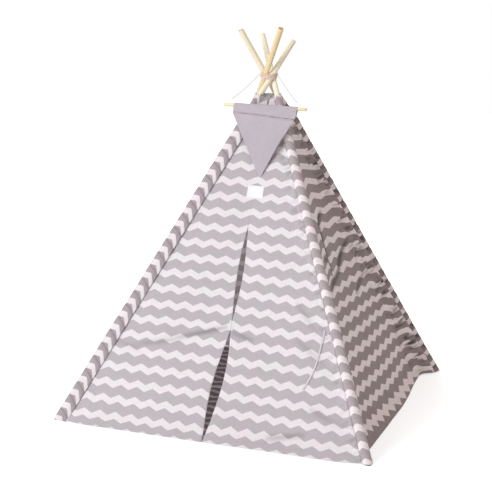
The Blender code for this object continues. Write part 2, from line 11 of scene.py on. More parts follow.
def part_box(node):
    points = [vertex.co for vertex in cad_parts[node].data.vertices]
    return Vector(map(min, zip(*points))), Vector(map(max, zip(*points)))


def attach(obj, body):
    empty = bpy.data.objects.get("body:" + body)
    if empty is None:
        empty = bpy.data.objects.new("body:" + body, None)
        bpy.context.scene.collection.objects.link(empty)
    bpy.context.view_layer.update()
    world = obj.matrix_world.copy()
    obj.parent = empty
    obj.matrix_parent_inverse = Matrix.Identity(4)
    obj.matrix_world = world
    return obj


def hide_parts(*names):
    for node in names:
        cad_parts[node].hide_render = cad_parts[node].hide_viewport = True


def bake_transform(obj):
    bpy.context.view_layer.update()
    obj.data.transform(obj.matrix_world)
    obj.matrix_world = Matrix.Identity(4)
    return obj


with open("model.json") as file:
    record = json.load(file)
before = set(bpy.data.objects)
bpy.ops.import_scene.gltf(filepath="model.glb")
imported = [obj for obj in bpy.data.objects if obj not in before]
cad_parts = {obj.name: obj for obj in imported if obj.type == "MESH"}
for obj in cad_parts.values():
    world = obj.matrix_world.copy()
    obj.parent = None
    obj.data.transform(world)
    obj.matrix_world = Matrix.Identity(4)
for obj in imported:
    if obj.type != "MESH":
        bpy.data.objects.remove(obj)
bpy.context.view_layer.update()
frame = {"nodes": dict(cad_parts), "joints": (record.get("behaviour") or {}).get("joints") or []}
nodes = frame["nodes"]
joints = {joint["name"]: joint for joint in frame["joints"]}

MM = 0.001

# Camera and studio: the teepee stands on a white sweep. One big soft lamp stands in front on the left,
# so the right side falls into warm shade, and a weak one behind shapes the back.
image_pixels = 492
focal_pixels = 1308.65
sensor_width = 36
camera_place = Vector((1.6519, -4.8228, 1.6617))
camera_heading = 0.3435
camera_dip = 0.2033
camera_roll = 0.0292

photo_camera = bpy.data.objects.new("photo_camera", bpy.data.cameras.new("photo_camera"))
photo_camera.data.sensor_width = sensor_width
photo_camera.data.lens = sensor_width * focal_pixels / image_pixels
photo_camera.matrix_world = (Matrix.Translation(camera_place)
                             @ Matrix.Rotation(camera_heading, 4, "Z")
                             @ Matrix.Rotation(math.pi / 2 - camera_dip, 4, "X")
                             @ Matrix.Rotation(camera_roll, 4, "Z"))
bpy.context.scene.collection.objects.link(photo_camera)
bpy.context.scene.camera = photo_camera
bpy.context.scene.view_settings.view_transform = "Standard"


def linear(code):
    """sRGB hex colour as linear red, green, blue and alpha."""
    levels = [int(code[place:place + 2], 16) / 255 for place in (1, 3, 5)]
    return (*[((level + 0.055) / 1.055) ** 2.4 if level > 0.04045 else level / 12.92 for level in levels], 1)


def add_node(tree, kind, inputs=None, **settings):
    """Adds a node. settings are its own properties. inputs fill its sockets with values, or with links from
    a socket or from the first output of a node."""
    made = tree.nodes.new("ShaderNode" + kind)
    for name, setting in settings.items():
        setattr(made, name, setting)
    for socket, value in (inputs or {}).items():
        value = value.outputs[0] if isinstance(value, bpy.types.Node) else value
        if isinstance(value, bpy.types.NodeSocket):
            tree.links.new(value, made.inputs[socket])
        else:
            made.inputs[socket].default_value = value
    return made


def surface(name, **sockets):
    """New material, its node tree and its shader, which starts from these socket values."""
    made = bpy.data.materials.new(name)
    made.use_nodes = True
    shader = made.node_tree.nodes["Principled BSDF"]
    for socket, value in sockets.items():
        shader.inputs[socket.replace("_", " ")].default_value = value
    return made, made.node_tree, shader


lamp_aim = Vector((0, 0, 0.6))
lamp_size = 2.4


def soft_lamp(name, place, power, colour):
    """Square soft lamp at a place, turned to the middle of the teepee."""
    lamp = bpy.data.lights.new(name, "AREA")
    lamp.size = lamp_size
    lamp.energy = power
    lamp.color = linear(colour)[:3]
    holder = bpy.data.objects.new(name, lamp)
    holder.location = place
    holder.rotation_euler = (lamp_aim - Vector(place)).to_track_quat("-Z", "Y").to_euler()
    bpy.context.scene.collection.objects.link(holder)


soft_lamp("key_lamp", (-1.9, -5.2, 3.0), 210, "#F1FAFF")
soft_lamp("back_lamp", (-2.6, 4.4, 3.0), 90, "#FFFAF6")

room_strength = 0.575
studio = bpy.data.worlds.new("studio")
studio.use_nodes = True
studio.node_tree.nodes.clear()
ray = add_node(studio.node_tree, "LightPath")
seen = add_node(studio.node_tree, "Math", {0: ray.outputs["Is Camera Ray"], 1: ray.outputs["Is Glossy Ray"]},
                operation="MAXIMUM")
seen = add_node(studio.node_tree, "Math", {0: seen, 1: ray.outputs["Is Transmission Ray"]},
                operation="MAXIMUM")
room_light = add_node(studio.node_tree, "Background",
                      {"Color": linear("#FFF1EA"), "Strength": room_strength})
white_room = add_node(studio.node_tree, "Background", {"Color": linear("#FFFFFF"), "Strength": 1})
room = add_node(studio.node_tree, "MixShader", {0: seen, 1: room_light, 2: white_room})
add_node(studio.node_tree, "OutputWorld", {0: room})
bpy.context.scene.world = studio

# Studio floor: a smooth board under the teepee, painted matt white. To the eye it is bare white that keeps
# the soft shadow and fades out into the white room.
floor_size = 24
floor_glow = 0.5
fade_start = 0.7
fade_end = 1.7
bpy.ops.mesh.primitive_plane_add(size=floor_size)
floor = bpy.context.object
floor.name = "studio_floor"
white_paint, tree, shader = surface("matt white paint", Base_Color=linear("#E9F0F3"), Roughness=0.95)
place = add_node(tree, "TexCoord")
away = add_node(tree, "VectorMath", {0: place.outputs["Object"]}, operation="LENGTH")
fade = add_node(tree, "MapRange", {"Value": away.outputs["Value"], "From Min": fade_start,
                                   "From Max": fade_end, "To Min": floor_glow, "To Max": 1},
                interpolation_type="SMOOTHSTEP")
ray = add_node(tree, "LightPath")
glow = add_node(tree, "Math", {0: ray.outputs["Is Camera Ray"], 1: fade}, operation="MULTIPLY")
tree.links.new(glow.outputs[0], shader.inputs["Emission Strength"])
shader.inputs["Emission Color"].default_value = linear("#FFFFFF")
floor.data.materials.append(white_paint)

# Pennant strings: thin white cotton cord, two plies twisted together. One length goes round the poles
# above the lashing and down to both ends of the stick, where it is tied.
string_diameter = 2 * MM
string_points = 16
string_slack = 6 * MM
string_inset = {"left": 146 * MM, "right": 151 * MM}
string_hinge = Vector(joints["pennant_swing"]["pos_m"])
bar_low, bar_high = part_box("pennant_bar")
bar_middle = (bar_low + bar_high) / 2
bar_radius = (bar_high.z - bar_low.z) / 2
string_clear = 0.3 * MM
string_pitch = 5 * MM
string_relief = 0.2 * MM
cord_dome = 0.5


def hollow_shade_and_relief(tree, shader, height, low_tone, high_tone, distance, strength):
    """Gives a shader one tone in its hollows and another on its heights, and the relief itself. The darker
    tone goes in the hollows: painted shade.
    """
    tone = add_node(tree, "Mix", {0: height, 6: linear(low_tone), 7: linear(high_tone)}, data_type="RGBA")
    tree.links.new(tone.outputs[2], shader.inputs["Base Color"])
    relief = add_node(tree, "Bump", {"Height": height, "Distance": distance, "Strength": strength})
    tree.links.new(relief.outputs[0], shader.inputs["Normal"])
    return relief


cotton_string, tree, shader = surface("twisted cotton string", Base_Color=linear("#E9E5E4"), Roughness=0.85,
                                      IOR=1.47)
lay = add_node(tree, "UVMap", uv_map="flat")
turns = add_node(tree, "VectorMath", operation="MULTIPLY",
                 inputs={0: lay, 1: (1 / (math.pi * string_diameter), 1 / string_pitch, 0)})
turns = add_node(tree, "SeparateXYZ", {0: turns})
turns = add_node(tree, "Math", {0: turns, 1: turns.outputs[1]}, operation="ADD")
plies = add_node(tree, "Math", {0: turns, 1: 0.5}, operation="PINGPONG")
# Painted shade in the grooves between the plies, paler on their crowns.
hollow_shade_and_relief(tree, shader, plies, "#C9C2C0", "#EFEBEA", string_relief, 1)


def new_piece(name, points, faces, look, flat):
    """Mesh piece. flat gives the place of each face's corners on the flat material, in metres."""
    mesh = bpy.data.meshes.new(name)
    mesh.from_pydata([tuple(point) for point in points], [], faces)
    layer = mesh.uv_layers.new(name="flat")
    corner = 0
    for face in flat:
        for place in face:
            layer.data[corner].uv = place
            corner += 1
    mesh.shade_smooth()
    mesh.materials.append(look)
    piece = bpy.data.objects.new(name, mesh)
    bpy.context.scene.collection.objects.link(piece)
    return piece


def ring_points(middle, side, other, reach, sides):
    """Points of a circle round a middle, from two directions square to each other."""
    turns = [2 * math.pi * step / sides for step in range(sides)]
    return [middle + (side * math.cos(turn) + other * math.sin(turn)) * reach for turn in turns]


def grid_faces(wide, map_rows, closed=True):
    """Faces between rows of so many points, and the place of each face corner on the material. map_rows
    holds these places row by row. A closed row joins up, and has one place more than points."""
    faces = []
    flat = []
    for row in range(len(map_rows) - 1):
        for column in range(wide if closed else wide - 1):
            after = (column + 1) % wide
            faces.append((row * wide + column, row * wide + after,
                          (row + 1) * wide + after, (row + 1) * wide + column))
            flat.append([map_rows[row][column], map_rows[row][column + 1],
                         map_rows[row + 1][column + 1], map_rows[row + 1][column]])
    return faces, flat


def lengths_along(line):
    """Distance of each point of a line from its start."""
    total = [0]
    for before, after in zip(line, line[1:]):
        total.append(total[-1] + (after - before).length)
    return total


def ring_frames(line):
    """Two directions square to the line at each of its points, turned as little as can be along it."""
    tangents = []
    for number in range(len(line)):
        before = line[max(0, number - 1)]
        after = line[min(len(line) - 1, number + 1)]
        tangents.append((after - before).normalized())
    side = tangents[0].orthogonal().normalized()
    frames = []
    for tangent in tangents:
        side = (side - tangent * side.dot(tangent)).normalized()
        frames.append((side, tangent.cross(side)))
    return frames


def cord_mesh(name, line, radius, look, sides=10):
    """Round cord along a line, with domed ends."""
    along = lengths_along(line)
    points = []
    for middle, (side, other) in zip(line, ring_frames(line)):
        points += ring_points(middle, side, other, radius, sides)
    around = 2 * math.pi * radius
    faces, flat = grid_faces(sides, [[(around * step / sides, place) for step in range(sides + 1)]
                                     for place in along])
    for ring, tip, forward in ((0, line[0], False), (len(line) - 1, line[-1], True)):
        outward = (line[-1] - line[-2]) if forward else (line[0] - line[1])
        points.append(tip + outward.normalized() * radius * cord_dome)
        for step in range(sides):
            pair = (ring * sides + step, ring * sides + (step + 1) % sides)
            faces.append((*(pair if forward else pair[::-1]), len(points) - 1))
            flat.append([(around * step / sides, along[ring])] * 3)
    return new_piece(name, points, faces, look, flat)


for hand, sign in (("left", -1), ("right", 1)):
    string_low, string_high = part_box("pennant_string_" + hand)
    top_reach = min(abs(string_low.x), abs(string_high.x)) + string_diameter / 2
    start = Vector((sign * top_reach, 0, string_hinge.z))
    end_lift = bar_radius + string_diameter / 2 + string_clear
    end = bar_middle + Vector((sign * string_inset[hand], 0, end_lift))
    line = []
    for number in range(string_points + 1):
        share = number / string_points
        sag = Vector((0, 0, -string_slack * math.sin(math.pi * share)))
        line.append(start.lerp(end, share) + sag)
    string = cord_mesh("string_" + hand, line, string_diameter / 2, cotton_string)
    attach(string, "pennant")
    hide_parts("pennant_string_" + hand)

# Poles: round pine, planed and sanded, each in three sections that butt together in metal ferrules.
# They lean past each other in a ring at the crossing, so that no two touch.
pole_headings = {"fl": 225, "fr": 315, "rr": 45, "rl": 135}
pole_bodies = {"fl": "pole_front_left", "fr": "pole_front_right", "rr": "pole_rear_right",
               "rl": "pole_rear_left"}
base_side = 1200 * MM
pole_radius = 11 * MM
pole_edge = 1.5 * MM
fold_hinge = Vector(joints["fold_front_left"]["pos_m"])
crossing_height = fold_hinge.z
bundle_radius = fold_hinge.xy.length
splay = math.atan2(base_side / math.sqrt(2), crossing_height)


def heading(angle):
    """Level unit vector at an angle in degrees from +X."""
    turn = math.radians(angle)
    return Vector((math.cos(turn), math.sin(turn), 0))


def pole_point(corner, height):
    """Middle of a pole at a height above the floor."""
    angle = pole_headings[corner]
    reach = (crossing_height - height) * math.tan(splay)
    return heading(angle) * reach + heading(angle + 90) * bundle_radius + Vector((0, 0, height))


def ends_of(node, along):
    """Ends of the middle line of a straight round stick that runs in a direction."""
    places = [vertex.co for vertex in nodes[node].data.vertices]
    middle = sum(places, Vector()) / len(places)
    reach = [(place - middle).dot(along) for place in places]
    return middle + along * min(reach), middle + along * max(reach)


def stick(name, start, end, radius, edge, look, end_look, sides=32, spacing=45 * MM):
    """Turned round stick with rounded rims. Its sides and its two ends have their own looks."""
    along = (end - start).normalized()
    side = along.orthogonal().normalized()
    other = along.cross(side)
    long = (end - start).length
    profile = [(0, radius - edge)]
    for step in (1, 2, 3):
        turn = math.pi / 6 * step
        profile.append((edge * (1 - math.cos(turn)), radius - edge * (1 - math.sin(turn))))
    count = max(2, round((long - 2 * edge) / spacing))
    profile += [(edge + (long - 2 * edge) * number / count, radius) for number in range(1, count)]
    profile += [(long - place, reach) for place, reach in profile[3::-1]]
    points = []
    for place, reach in profile:
        points += ring_points(start + along * place, side, other, reach, sides)
    around = 2 * math.pi * radius
    faces, flat = grid_faces(sides, [[(around * step / sides, place) for step in range(sides + 1)]
                                     for place, reach in profile])
    disc = [(math.cos(2 * math.pi * step / sides) * radius, math.sin(2 * math.pi * step / sides) * radius)
            for step in range(sides)]
    last = (len(profile) - 1) * sides
    faces += [tuple(range(sides))[::-1], tuple(range(last, last + sides))]
    flat += [disc[::-1], disc]
    piece = new_piece(name, points, faces, look, flat)
    piece.data.materials.append(end_look)
    for face in piece.data.polygons[-2:]:
        face.material_index = 1
        face.use_smooth = False
    return piece


def streaks(tree, place, width, length, **settings):
    """Noise drawn out into streaks of a width and a length on the material."""
    drawn_out = add_node(tree, "VectorMath", {0: place, 1: (1 / width, 1 / length, 0)}, operation="MULTIPLY")
    return add_node(tree, "TexNoise", {"Vector": drawn_out, "Scale": 1, **settings})


band_size = (5 * MM, 160 * MM)
fibre_size = (0.9 * MM, 35 * MM)
knot_spread = (1 / (30 * MM), 1 / (90 * MM), 0)
fibre_relief = 0.15 * MM
heart_place = (6 * MM, 4 * MM, 0)


def wood(name, pale, dark, knot="#CFAE80"):
    """Sanded pine or a like wood: long pale and dark streaks of grain, matt, with a slight silky shine."""
    made, tree, shader = surface(name, Roughness=0.5, IOR=1.5)
    grain_map = add_node(tree, "UVMap", uv_map="flat")
    bands = streaks(tree, grain_map, *band_size, Detail=3, Distortion=0.4)
    fibres = streaks(tree, grain_map, *fibre_size, Detail=2)
    spots = add_node(tree, "VectorMath", {0: grain_map, 1: knot_spread}, operation="MULTIPLY")
    knots = add_node(tree, "TexVoronoi", {"Vector": spots, "Scale": 1})
    band_mask = add_node(tree, "MapRange", {"Value": bands, "From Min": 0.35, "From Max": 0.65})
    tone = add_node(tree, "Mix", {0: band_mask, 6: linear(pale), 7: linear(dark)}, data_type="RGBA")
    fibre_mask = add_node(tree, "MapRange", {"Value": fibres, "From Min": 0.5, "From Max": 0.8,
                                             "To Max": 0.2})
    knot_mask = add_node(tree, "MapRange", {"Value": knots.outputs["Distance"], "From Min": 0.12,
                                            "From Max": 0.04, "To Max": 0.5})
    for mask in (fibre_mask, knot_mask):
        tone = add_node(tree, "Mix", {0: mask, 6: tone.outputs[2], 7: linear(knot)}, data_type="RGBA")
    tree.links.new(tone.outputs[2], shader.inputs["Base Color"])
    shine = add_node(tree, "MapRange", {"Value": fibres, "To Min": 0.42, "To Max": 0.62})
    tree.links.new(shine.outputs[0], shader.inputs["Roughness"])
    relief = add_node(tree, "Bump", {"Height": fibres, "Distance": fibre_relief, "Strength": 0.6})
    tree.links.new(relief.outputs[0], shader.inputs["Normal"])
    return made


def end_grain(name, pale, dark, ring=1.8 * MM):
    """Sawn end of a wooden stick: arcs of yearly rings, matt and a shade darker than its sides."""
    made, tree, shader = surface(name, Roughness=0.8, IOR=1.5)
    cut = add_node(tree, "UVMap", uv_map="flat")
    heart = add_node(tree, "VectorMath", {0: cut, 1: heart_place}, operation="ADD")
    scaled = add_node(tree, "VectorMath", {0: heart, "Scale": 1 / ring}, operation="SCALE")
    rings = add_node(tree, "TexWave", {"Vector": scaled, "Scale": 0.31, "Distortion": 1.2,
                                       "Detail": 2}, wave_type="RINGS", rings_direction="SPHERICAL")
    tone = add_node(tree, "Mix", {0: rings.outputs["Fac"], 6: linear(pale), 7: linear(dark)},
                    data_type="RGBA")
    tree.links.new(tone.outputs[2], shader.inputs["Base Color"])
    return made


pole_tones = {"fl": ("#F8F1DC", "#EBDDBE"), "fr": ("#FFFBEA", "#FAF0D4"),
              "rr": ("#FBF1DC", "#F0E0C0"), "rl": ("#F6E2BC", "#E6C894")}
for corner in pole_headings:
    pale, dark = pole_tones[corner]
    pine = wood(f"sanded pine {corner}", pale, dark)
    pine_end = end_grain(f"sawn pine {corner}", dark, "#B7905C")
    along = (pole_point(corner, crossing_height) - pole_point(corner, 0)).normalized()
    for part in ("lower", "middle", "upper"):
        node = f"pole_{corner}_{part}"
        start, end = ends_of(node, along)
        section = stick(f"pine_{corner}_{part}", start, end, pole_radius, pole_edge, pine, pine_end)
        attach(section, pole_bodies[corner])
        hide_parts(node)

# Ferrules: drawn aluminium tube pressed over the ends of two sections, with a rolled bead at each mouth.
# Fine drawing lines along the tube break up its bright reflection.
drawn_aluminium, tree, shader = surface("drawn aluminium", Base_Color=linear("#D5D6D8"), Metallic=1,
                                        Roughness=0.35)
draw_line = 0.6 * MM
draw_length = 30 * MM
place = add_node(tree, "TexCoord")
drawn = add_node(tree, "VectorMath", {0: place.outputs["Object"],
                                      1: (1 / draw_line, 1 / draw_line, 1 / draw_length)},
                 operation="MULTIPLY")
lines = add_node(tree, "TexNoise", {"Vector": drawn, "Scale": 1, "Detail": 2})
rough = add_node(tree, "MapRange", {"Value": lines, "To Min": 0.28, "To Max": 0.46})
tree.links.new(rough.outputs[0], shader.inputs["Roughness"])
relief = add_node(tree, "Bump", {"Height": lines, "Distance": 0.03 * MM, "Strength": 0.5})
tree.links.new(relief.outputs[0], shader.inputs["Normal"])

# Foot caps: black rubber, moulded as a cup and pushed onto the pole. The mould leaves a fine matt grain,
# with painted shade in its hollows and painted light on its tops.
moulded_rubber, tree, shader = surface("moulded rubber", Base_Color=linear("#262526"), Roughness=0.75,
                                       IOR=1.52)
mould_grain = 0.8 * MM
place = add_node(tree, "TexCoord")
grain = add_node(tree, "TexNoise", {"Vector": place.outputs["Object"], "Scale": 1 / mould_grain,
                                    "Detail": 3})
# Painted shade in the grain's hollows, painted light on its tops.
hollow_shade_and_relief(tree, shader, grain, "#1B1A1B", "#3A3839", 0.1 * MM, 0.7)
for corner in pole_headings:
    for node in (f"ferrule_{corner}_lower", f"ferrule_{corner}_upper"):
        nodes[node].data.materials.clear()
        nodes[node].data.materials.append(drawn_aluminium)
    nodes["foot_cap_" + corner].data.materials.clear()
    nodes["foot_cap_" + corner].data.materials.append(moulded_rubber)

# Sleeves: tubes of the printed cotton down the corners of the cover, each round one pole. They are
# strips cut square to the pole and sewn in between two sides, so the thread gathers them into puckers.
# Two of them bulge at one edge. An ear is how far it does, the turn where it does most, and its direction.
cover_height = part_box("cover_back")[1].z
hem_corner_height = 12 * MM
hem_middle_height = 2 * MM
cloth_thickness = 0.9 * MM
sleeve_half_width = 20 * MM
sleeve_half_depth = 16.8 * MM
sleeve_top_half_width = 15.3 * MM
sleeve_top_half_depth = 14.3 * MM
sleeve_taper = 120 * MM
sleeve_rings = 400
sleeve_points = 44
sleeve_crowding = 0.6
sleeve_hem = 4 * MM
floor_clear = 1 * MM
sleeve_ear = {"fl": (27 * MM, 0, Vector((0.92, -0.24, -0.31))),
              "rr": (14 * MM, 2, Vector((0.94, 0.34, 0)))}
ear_turn = 0.55
ear_sharpness = 1.1
ear_top_fade = 80 * MM
lapped_sleeve = "fl"
lap_print = 1.5
lap_drop = 0.9
# Painted shade on the front left ear, darkest where it stands out most.
lap_dimming = 0.2

# Plain-woven cotton, printed with rows of zigzag. The eye sees a soft matt cloth with a faint sheen at
# grazing angles and thick and thin threads. Its threads are 0.6 mm apart, too fine to show, so they are
# drawn three times as coarse.
thread_pitch = 0.6 * MM
thread_coarser = 3
slub_length = 26 * MM
row_pitch = 63.2 * MM
zigzag_wave = 63 * MM
zigzag_height = 16 * MM
white_band = 26 * MM
print_edge = 1.4 * MM
print_fray = 0.9 * MM
fray_size = 2.5 * MM
wash_size = 70 * MM
print_relief = 0.25 * MM
fold_dimming = 0.72
print_grey = "#BDB7BB"
print_white = "#EAE5E8"
# The sides wear a copy of the front's print with a darker grey and a whiter white: painted shade for sides
# in shade, same cloth.
shaded_side_grey = "#9C9192"
shaded_side_white = "#F9F2F4"


def woven(tree, shader, flat_map, colour, relief):
    """Gives a shader plain-woven threads, slubs and a little unevenness over a colour, with painted shade
    where the mesh's painted fold shade says that light can't reach down into a fold or pucker, and a painted
    highlight where that is below 0."""
    pitch = thread_pitch * thread_coarser
    threads = add_node(tree, "VectorMath", {0: flat_map, "Scale": 2 * math.pi / pitch}, operation="SCALE")
    thread = add_node(tree, "SeparateXYZ", {0: threads})
    warp = add_node(tree, "Math", {0: thread}, operation="SINE")
    weft = add_node(tree, "Math", {0: thread.outputs[1]}, operation="SINE")
    weave = add_node(tree, "Math", {0: warp, 1: weft}, operation="MULTIPLY")
    slub = add_node(tree, "Math", {0: streaks(tree, flat_map, slub_length, pitch, Scale=0.5, Detail=1),
                                   1: streaks(tree, flat_map, pitch, slub_length, Scale=0.5, Detail=1)},
                    operation="ADD")
    tone = add_node(tree, "MapRange", {"Value": slub, "From Min": 0.6, "From Max": 1.4,
                                       "To Min": 0.94, "To Max": 1.04})
    patches = add_node(tree, "TexNoise", {"Vector": flat_map, "Scale": 1 / wash_size, "Detail": 2})
    wash = add_node(tree, "MapRange", {"Value": patches, "From Min": 0.3, "From Max": 0.7})
    tint = add_node(tree, "Mix", {0: wash, 6: linear("#F9FBF8"), 7: linear("#FFF8FC")}, data_type="RGBA")
    # Painted shade: the colour darkens by the shade that the mesh stores for its folds and puckers.
    folds = add_node(tree, "Attribute", attribute_name="painted_fold_shade")
    dim = add_node(tree, "Math", {0: folds.outputs["Fac"], 1: -fold_dimming, 2: 1}, operation="MULTIPLY_ADD")
    dim = add_node(tree, "Math", {0: dim, 1: tone}, operation="MULTIPLY")
    shade = add_node(tree, "VectorMath", {0: colour, "Scale": dim}, operation="SCALE")
    shade = add_node(tree, "VectorMath", {0: shade, 1: tint.outputs[2]}, operation="MULTIPLY")
    tree.links.new(shade.outputs[0], shader.inputs["Base Color"])
    height = add_node(tree, "Math", {0: weave, 1: slub}, operation="ADD")
    bump = add_node(tree, "Bump", {"Height": height, "Distance": relief, "Strength": 0.5})
    tree.links.new(bump.outputs[0], shader.inputs["Normal"])


def printed_cotton(name, grey, white, through=0):
    """Woven cotton with printed zigzag rows. Its flat map is in metres, with a white peak at 0, 0. through
    is a painted glow of the print, which stands in for the daylight that comes through the thin cloth."""
    made, tree, shader = surface(name, Roughness=0.88, IOR=1.47, Sheen_Weight=0.15, Sheen_Roughness=0.5)
    flat_map = add_node(tree, "UVMap", uv_map="flat")
    fray = add_node(tree, "TexNoise", {"Vector": flat_map, "Scale": 1 / fray_size, "Detail": 1})
    fray = add_node(tree, "MapRange", {"Value": fray, "To Min": -print_fray, "To Max": print_fray})
    place = add_node(tree, "SeparateXYZ", {0: flat_map})
    across = add_node(tree, "Math", {0: place, 1: zigzag_wave / 2}, operation="PINGPONG")
    rise = add_node(tree, "Math", {0: across, 1: 2 * zigzag_height / zigzag_wave,
                                   2: place.outputs[1]}, operation="MULTIPLY_ADD")
    rise = add_node(tree, "Math", {0: rise, 1: fray}, operation="ADD")
    away = add_node(tree, "Math", {0: rise, 1: row_pitch / 2}, operation="PINGPONG")
    mask = add_node(tree, "MapRange", {"Value": away, "From Min": (white_band - print_edge) / 2,
                                       "From Max": (white_band + print_edge) / 2},
                    interpolation_type="SMOOTHSTEP")
    ink = add_node(tree, "Mix", {0: mask, 6: linear(white), 7: linear(grey)}, data_type="RGBA")
    woven(tree, shader, flat_map, ink.outputs[2], print_relief)
    # Painted light: the cloth glows with its own print.
    if through:
        tree.links.new(ink.outputs[2], shader.inputs["Emission Color"])
        shader.inputs["Emission Strength"].default_value = through
    return made


cotton_face = printed_cotton("printed cotton", print_grey, print_white)
# Shaded copy of the print, for the sides and the mat: painted shade.
shaded_side_face = printed_cotton("shaded copy of printed cotton for the sides", shaded_side_grey, shaded_side_white)
# The reverse has a painted glow in place of daylight shining through the cloth.
cotton_back_painted_glow = printed_cotton("printed cotton back with painted glow", "#A8A2A4", "#CBC4C6", through=0.3)


def cloth_grid(name, place, flat_place, across_steps, up_steps, thickness, looks, closed=False, level=1,
               shade=None):
    """Sheet of cloth mapped from two lists of shares, with its thickness behind its face. The back has
    the second look. A closed one joins its last column to its first. shade gives the painted shade of its
    folds."""
    points = [place(across, up) for up in up_steps for across in across_steps]
    edges = [*across_steps, 1] if closed else across_steps
    map_rows = [[flat_place(across, up) for across in edges] for up in up_steps]
    faces, flat = grid_faces(len(across_steps), map_rows, closed)
    piece = new_piece(name, points, faces, looks[0], flat)
    if shade:
        depths = piece.data.attributes.new("painted_fold_shade", "FLOAT", "POINT")
        depths.data.foreach_set("value", [shade(across, up) for up in up_steps for across in across_steps])
    if len(looks) > 1:
        piece.data.materials.append(looks[1])
    solid = piece.modifiers.new("cloth", "SOLIDIFY")
    solid.thickness = thickness
    solid.offset = -1
    solid.material_offset = len(looks) - 1
    if level:
        smooth = piece.modifiers.new("smooth", "SUBSURF")
        smooth.levels = smooth.render_levels = level
    return piece


def even(count):
    """Evenly spaced shares from 0 to 1."""
    return [number / count for number in range(count + 1)]


def ease(share):
    """Smooth step from 0 to 1."""
    share = max(0, min(1, share))
    return share * share * (3 - 2 * share)


def sleeve_half_sizes(height):
    """Half width and half depth of the outside of a sleeve at a height."""
    share = ease((cover_height - height) / math.cos(splay) / sleeve_taper)
    width = sleeve_top_half_width + (sleeve_half_width - sleeve_top_half_width) * share
    depth = sleeve_top_half_depth + (sleeve_half_depth - sleeve_top_half_depth) * share
    return width, depth


def ear_reach(corner, turn):
    """How far a sleeve's ear stands out at a turn, which is most on its one line. It hangs loose there."""
    if corner not in sleeve_ear:
        return 0
    reach, middle, lap = sleeve_ear[corner]
    away = abs(turn - middle) % (2 * math.pi)
    away = min(away, 2 * math.pi - away) / ear_turn
    return reach * math.exp(-away ** ear_sharpness)


def lap_reach(corner, turn):
    """How far the front left sleeve's ear laps over the front at a turn. The print shifts with it."""
    return ear_reach(corner, turn) if corner == lapped_sleeve else 0


def ring_noise(turn, reach, level):
    """Smooth noise round a tube at a turn. The further it reaches, the more waves go round."""
    return noise.noise(Vector((reach * math.cos(turn), reach * math.sin(turn), level)))


def row_fold(turn, height, up):
    """Depth share of the crease that the seam's thread draws across each grey row of a sleeve."""
    row = (up / row_pitch) % 1 - 1 / 2
    bend = row_crease_bend * ring_noise(turn, 3, height / row_pitch)
    return math.exp(-((row + bend) * row_pitch / row_crease_width) ** 2)


# Place of the print on each sleeve: its shift round the tube and its rise, both in millimetres, and how
# much longer the strip was cut than the seam it is gathered into.
sleeve_print = {"fl": (-4, -14, 1.093), "fr": (41, -6.6, 1), "rr": (20, 0, 1.06), "rl": (30, 0, 1.03)}
# Tones of the print on each sleeve, set for the light on it: painted light and shade on one cloth, darkest
# on the rear right.
sleeve_painted_tones = {"fl": ("#B0A6AA", "#F0E8EB"), "fr": ("#B8AFB2", "#FBF3F6"),
                "rr": ("#968B8A", "#F6EEF0"), "rl": ("#A89E9F", "#F3ECEF")}
row_crease = {"fl": 3 * MM, "fr": 0.4 * MM, "rr": 3 * MM, "rl": 1.6 * MM}
row_crease_width = 2.6 * MM
row_crease_bend = 0.05
# Painted shade on the sleeves: in the creases of the rows, on the lower half of each grey kite and in the
# deeper puckers.
row_crease_dark = 5 * MM
row_crease_darkest = 0.8
kite_shade = {"fl": 0.06, "fr": 0, "rr": 0.2, "rl": 0.1}
kite_start = 0.32
kite_fade = 0.1
sleeve_calm = 60 * MM
sleeve_calm_start = 0.3
sleeve_gathers = {"fl": 1.3 * MM, "fr": 1.6 * MM, "rr": 4.4 * MM, "rl": 1.8 * MM}
gather_pitch = 13 * MM
gather_waves = 0.9
gather_bare = 1 * MM
gather_dark = 2 * MM
gather_rest = 0.12
pucker_rest = 0.5
pucker_swing = 0.9
pucker_front = 0.35
pucker_sideways = 0.15
sleeve_swell = 1.2 * MM
sleeve_swell_size = 90 * MM
crown_reach = 45 * MM
crown_rise = 14 * MM
crown_waves = 2.4
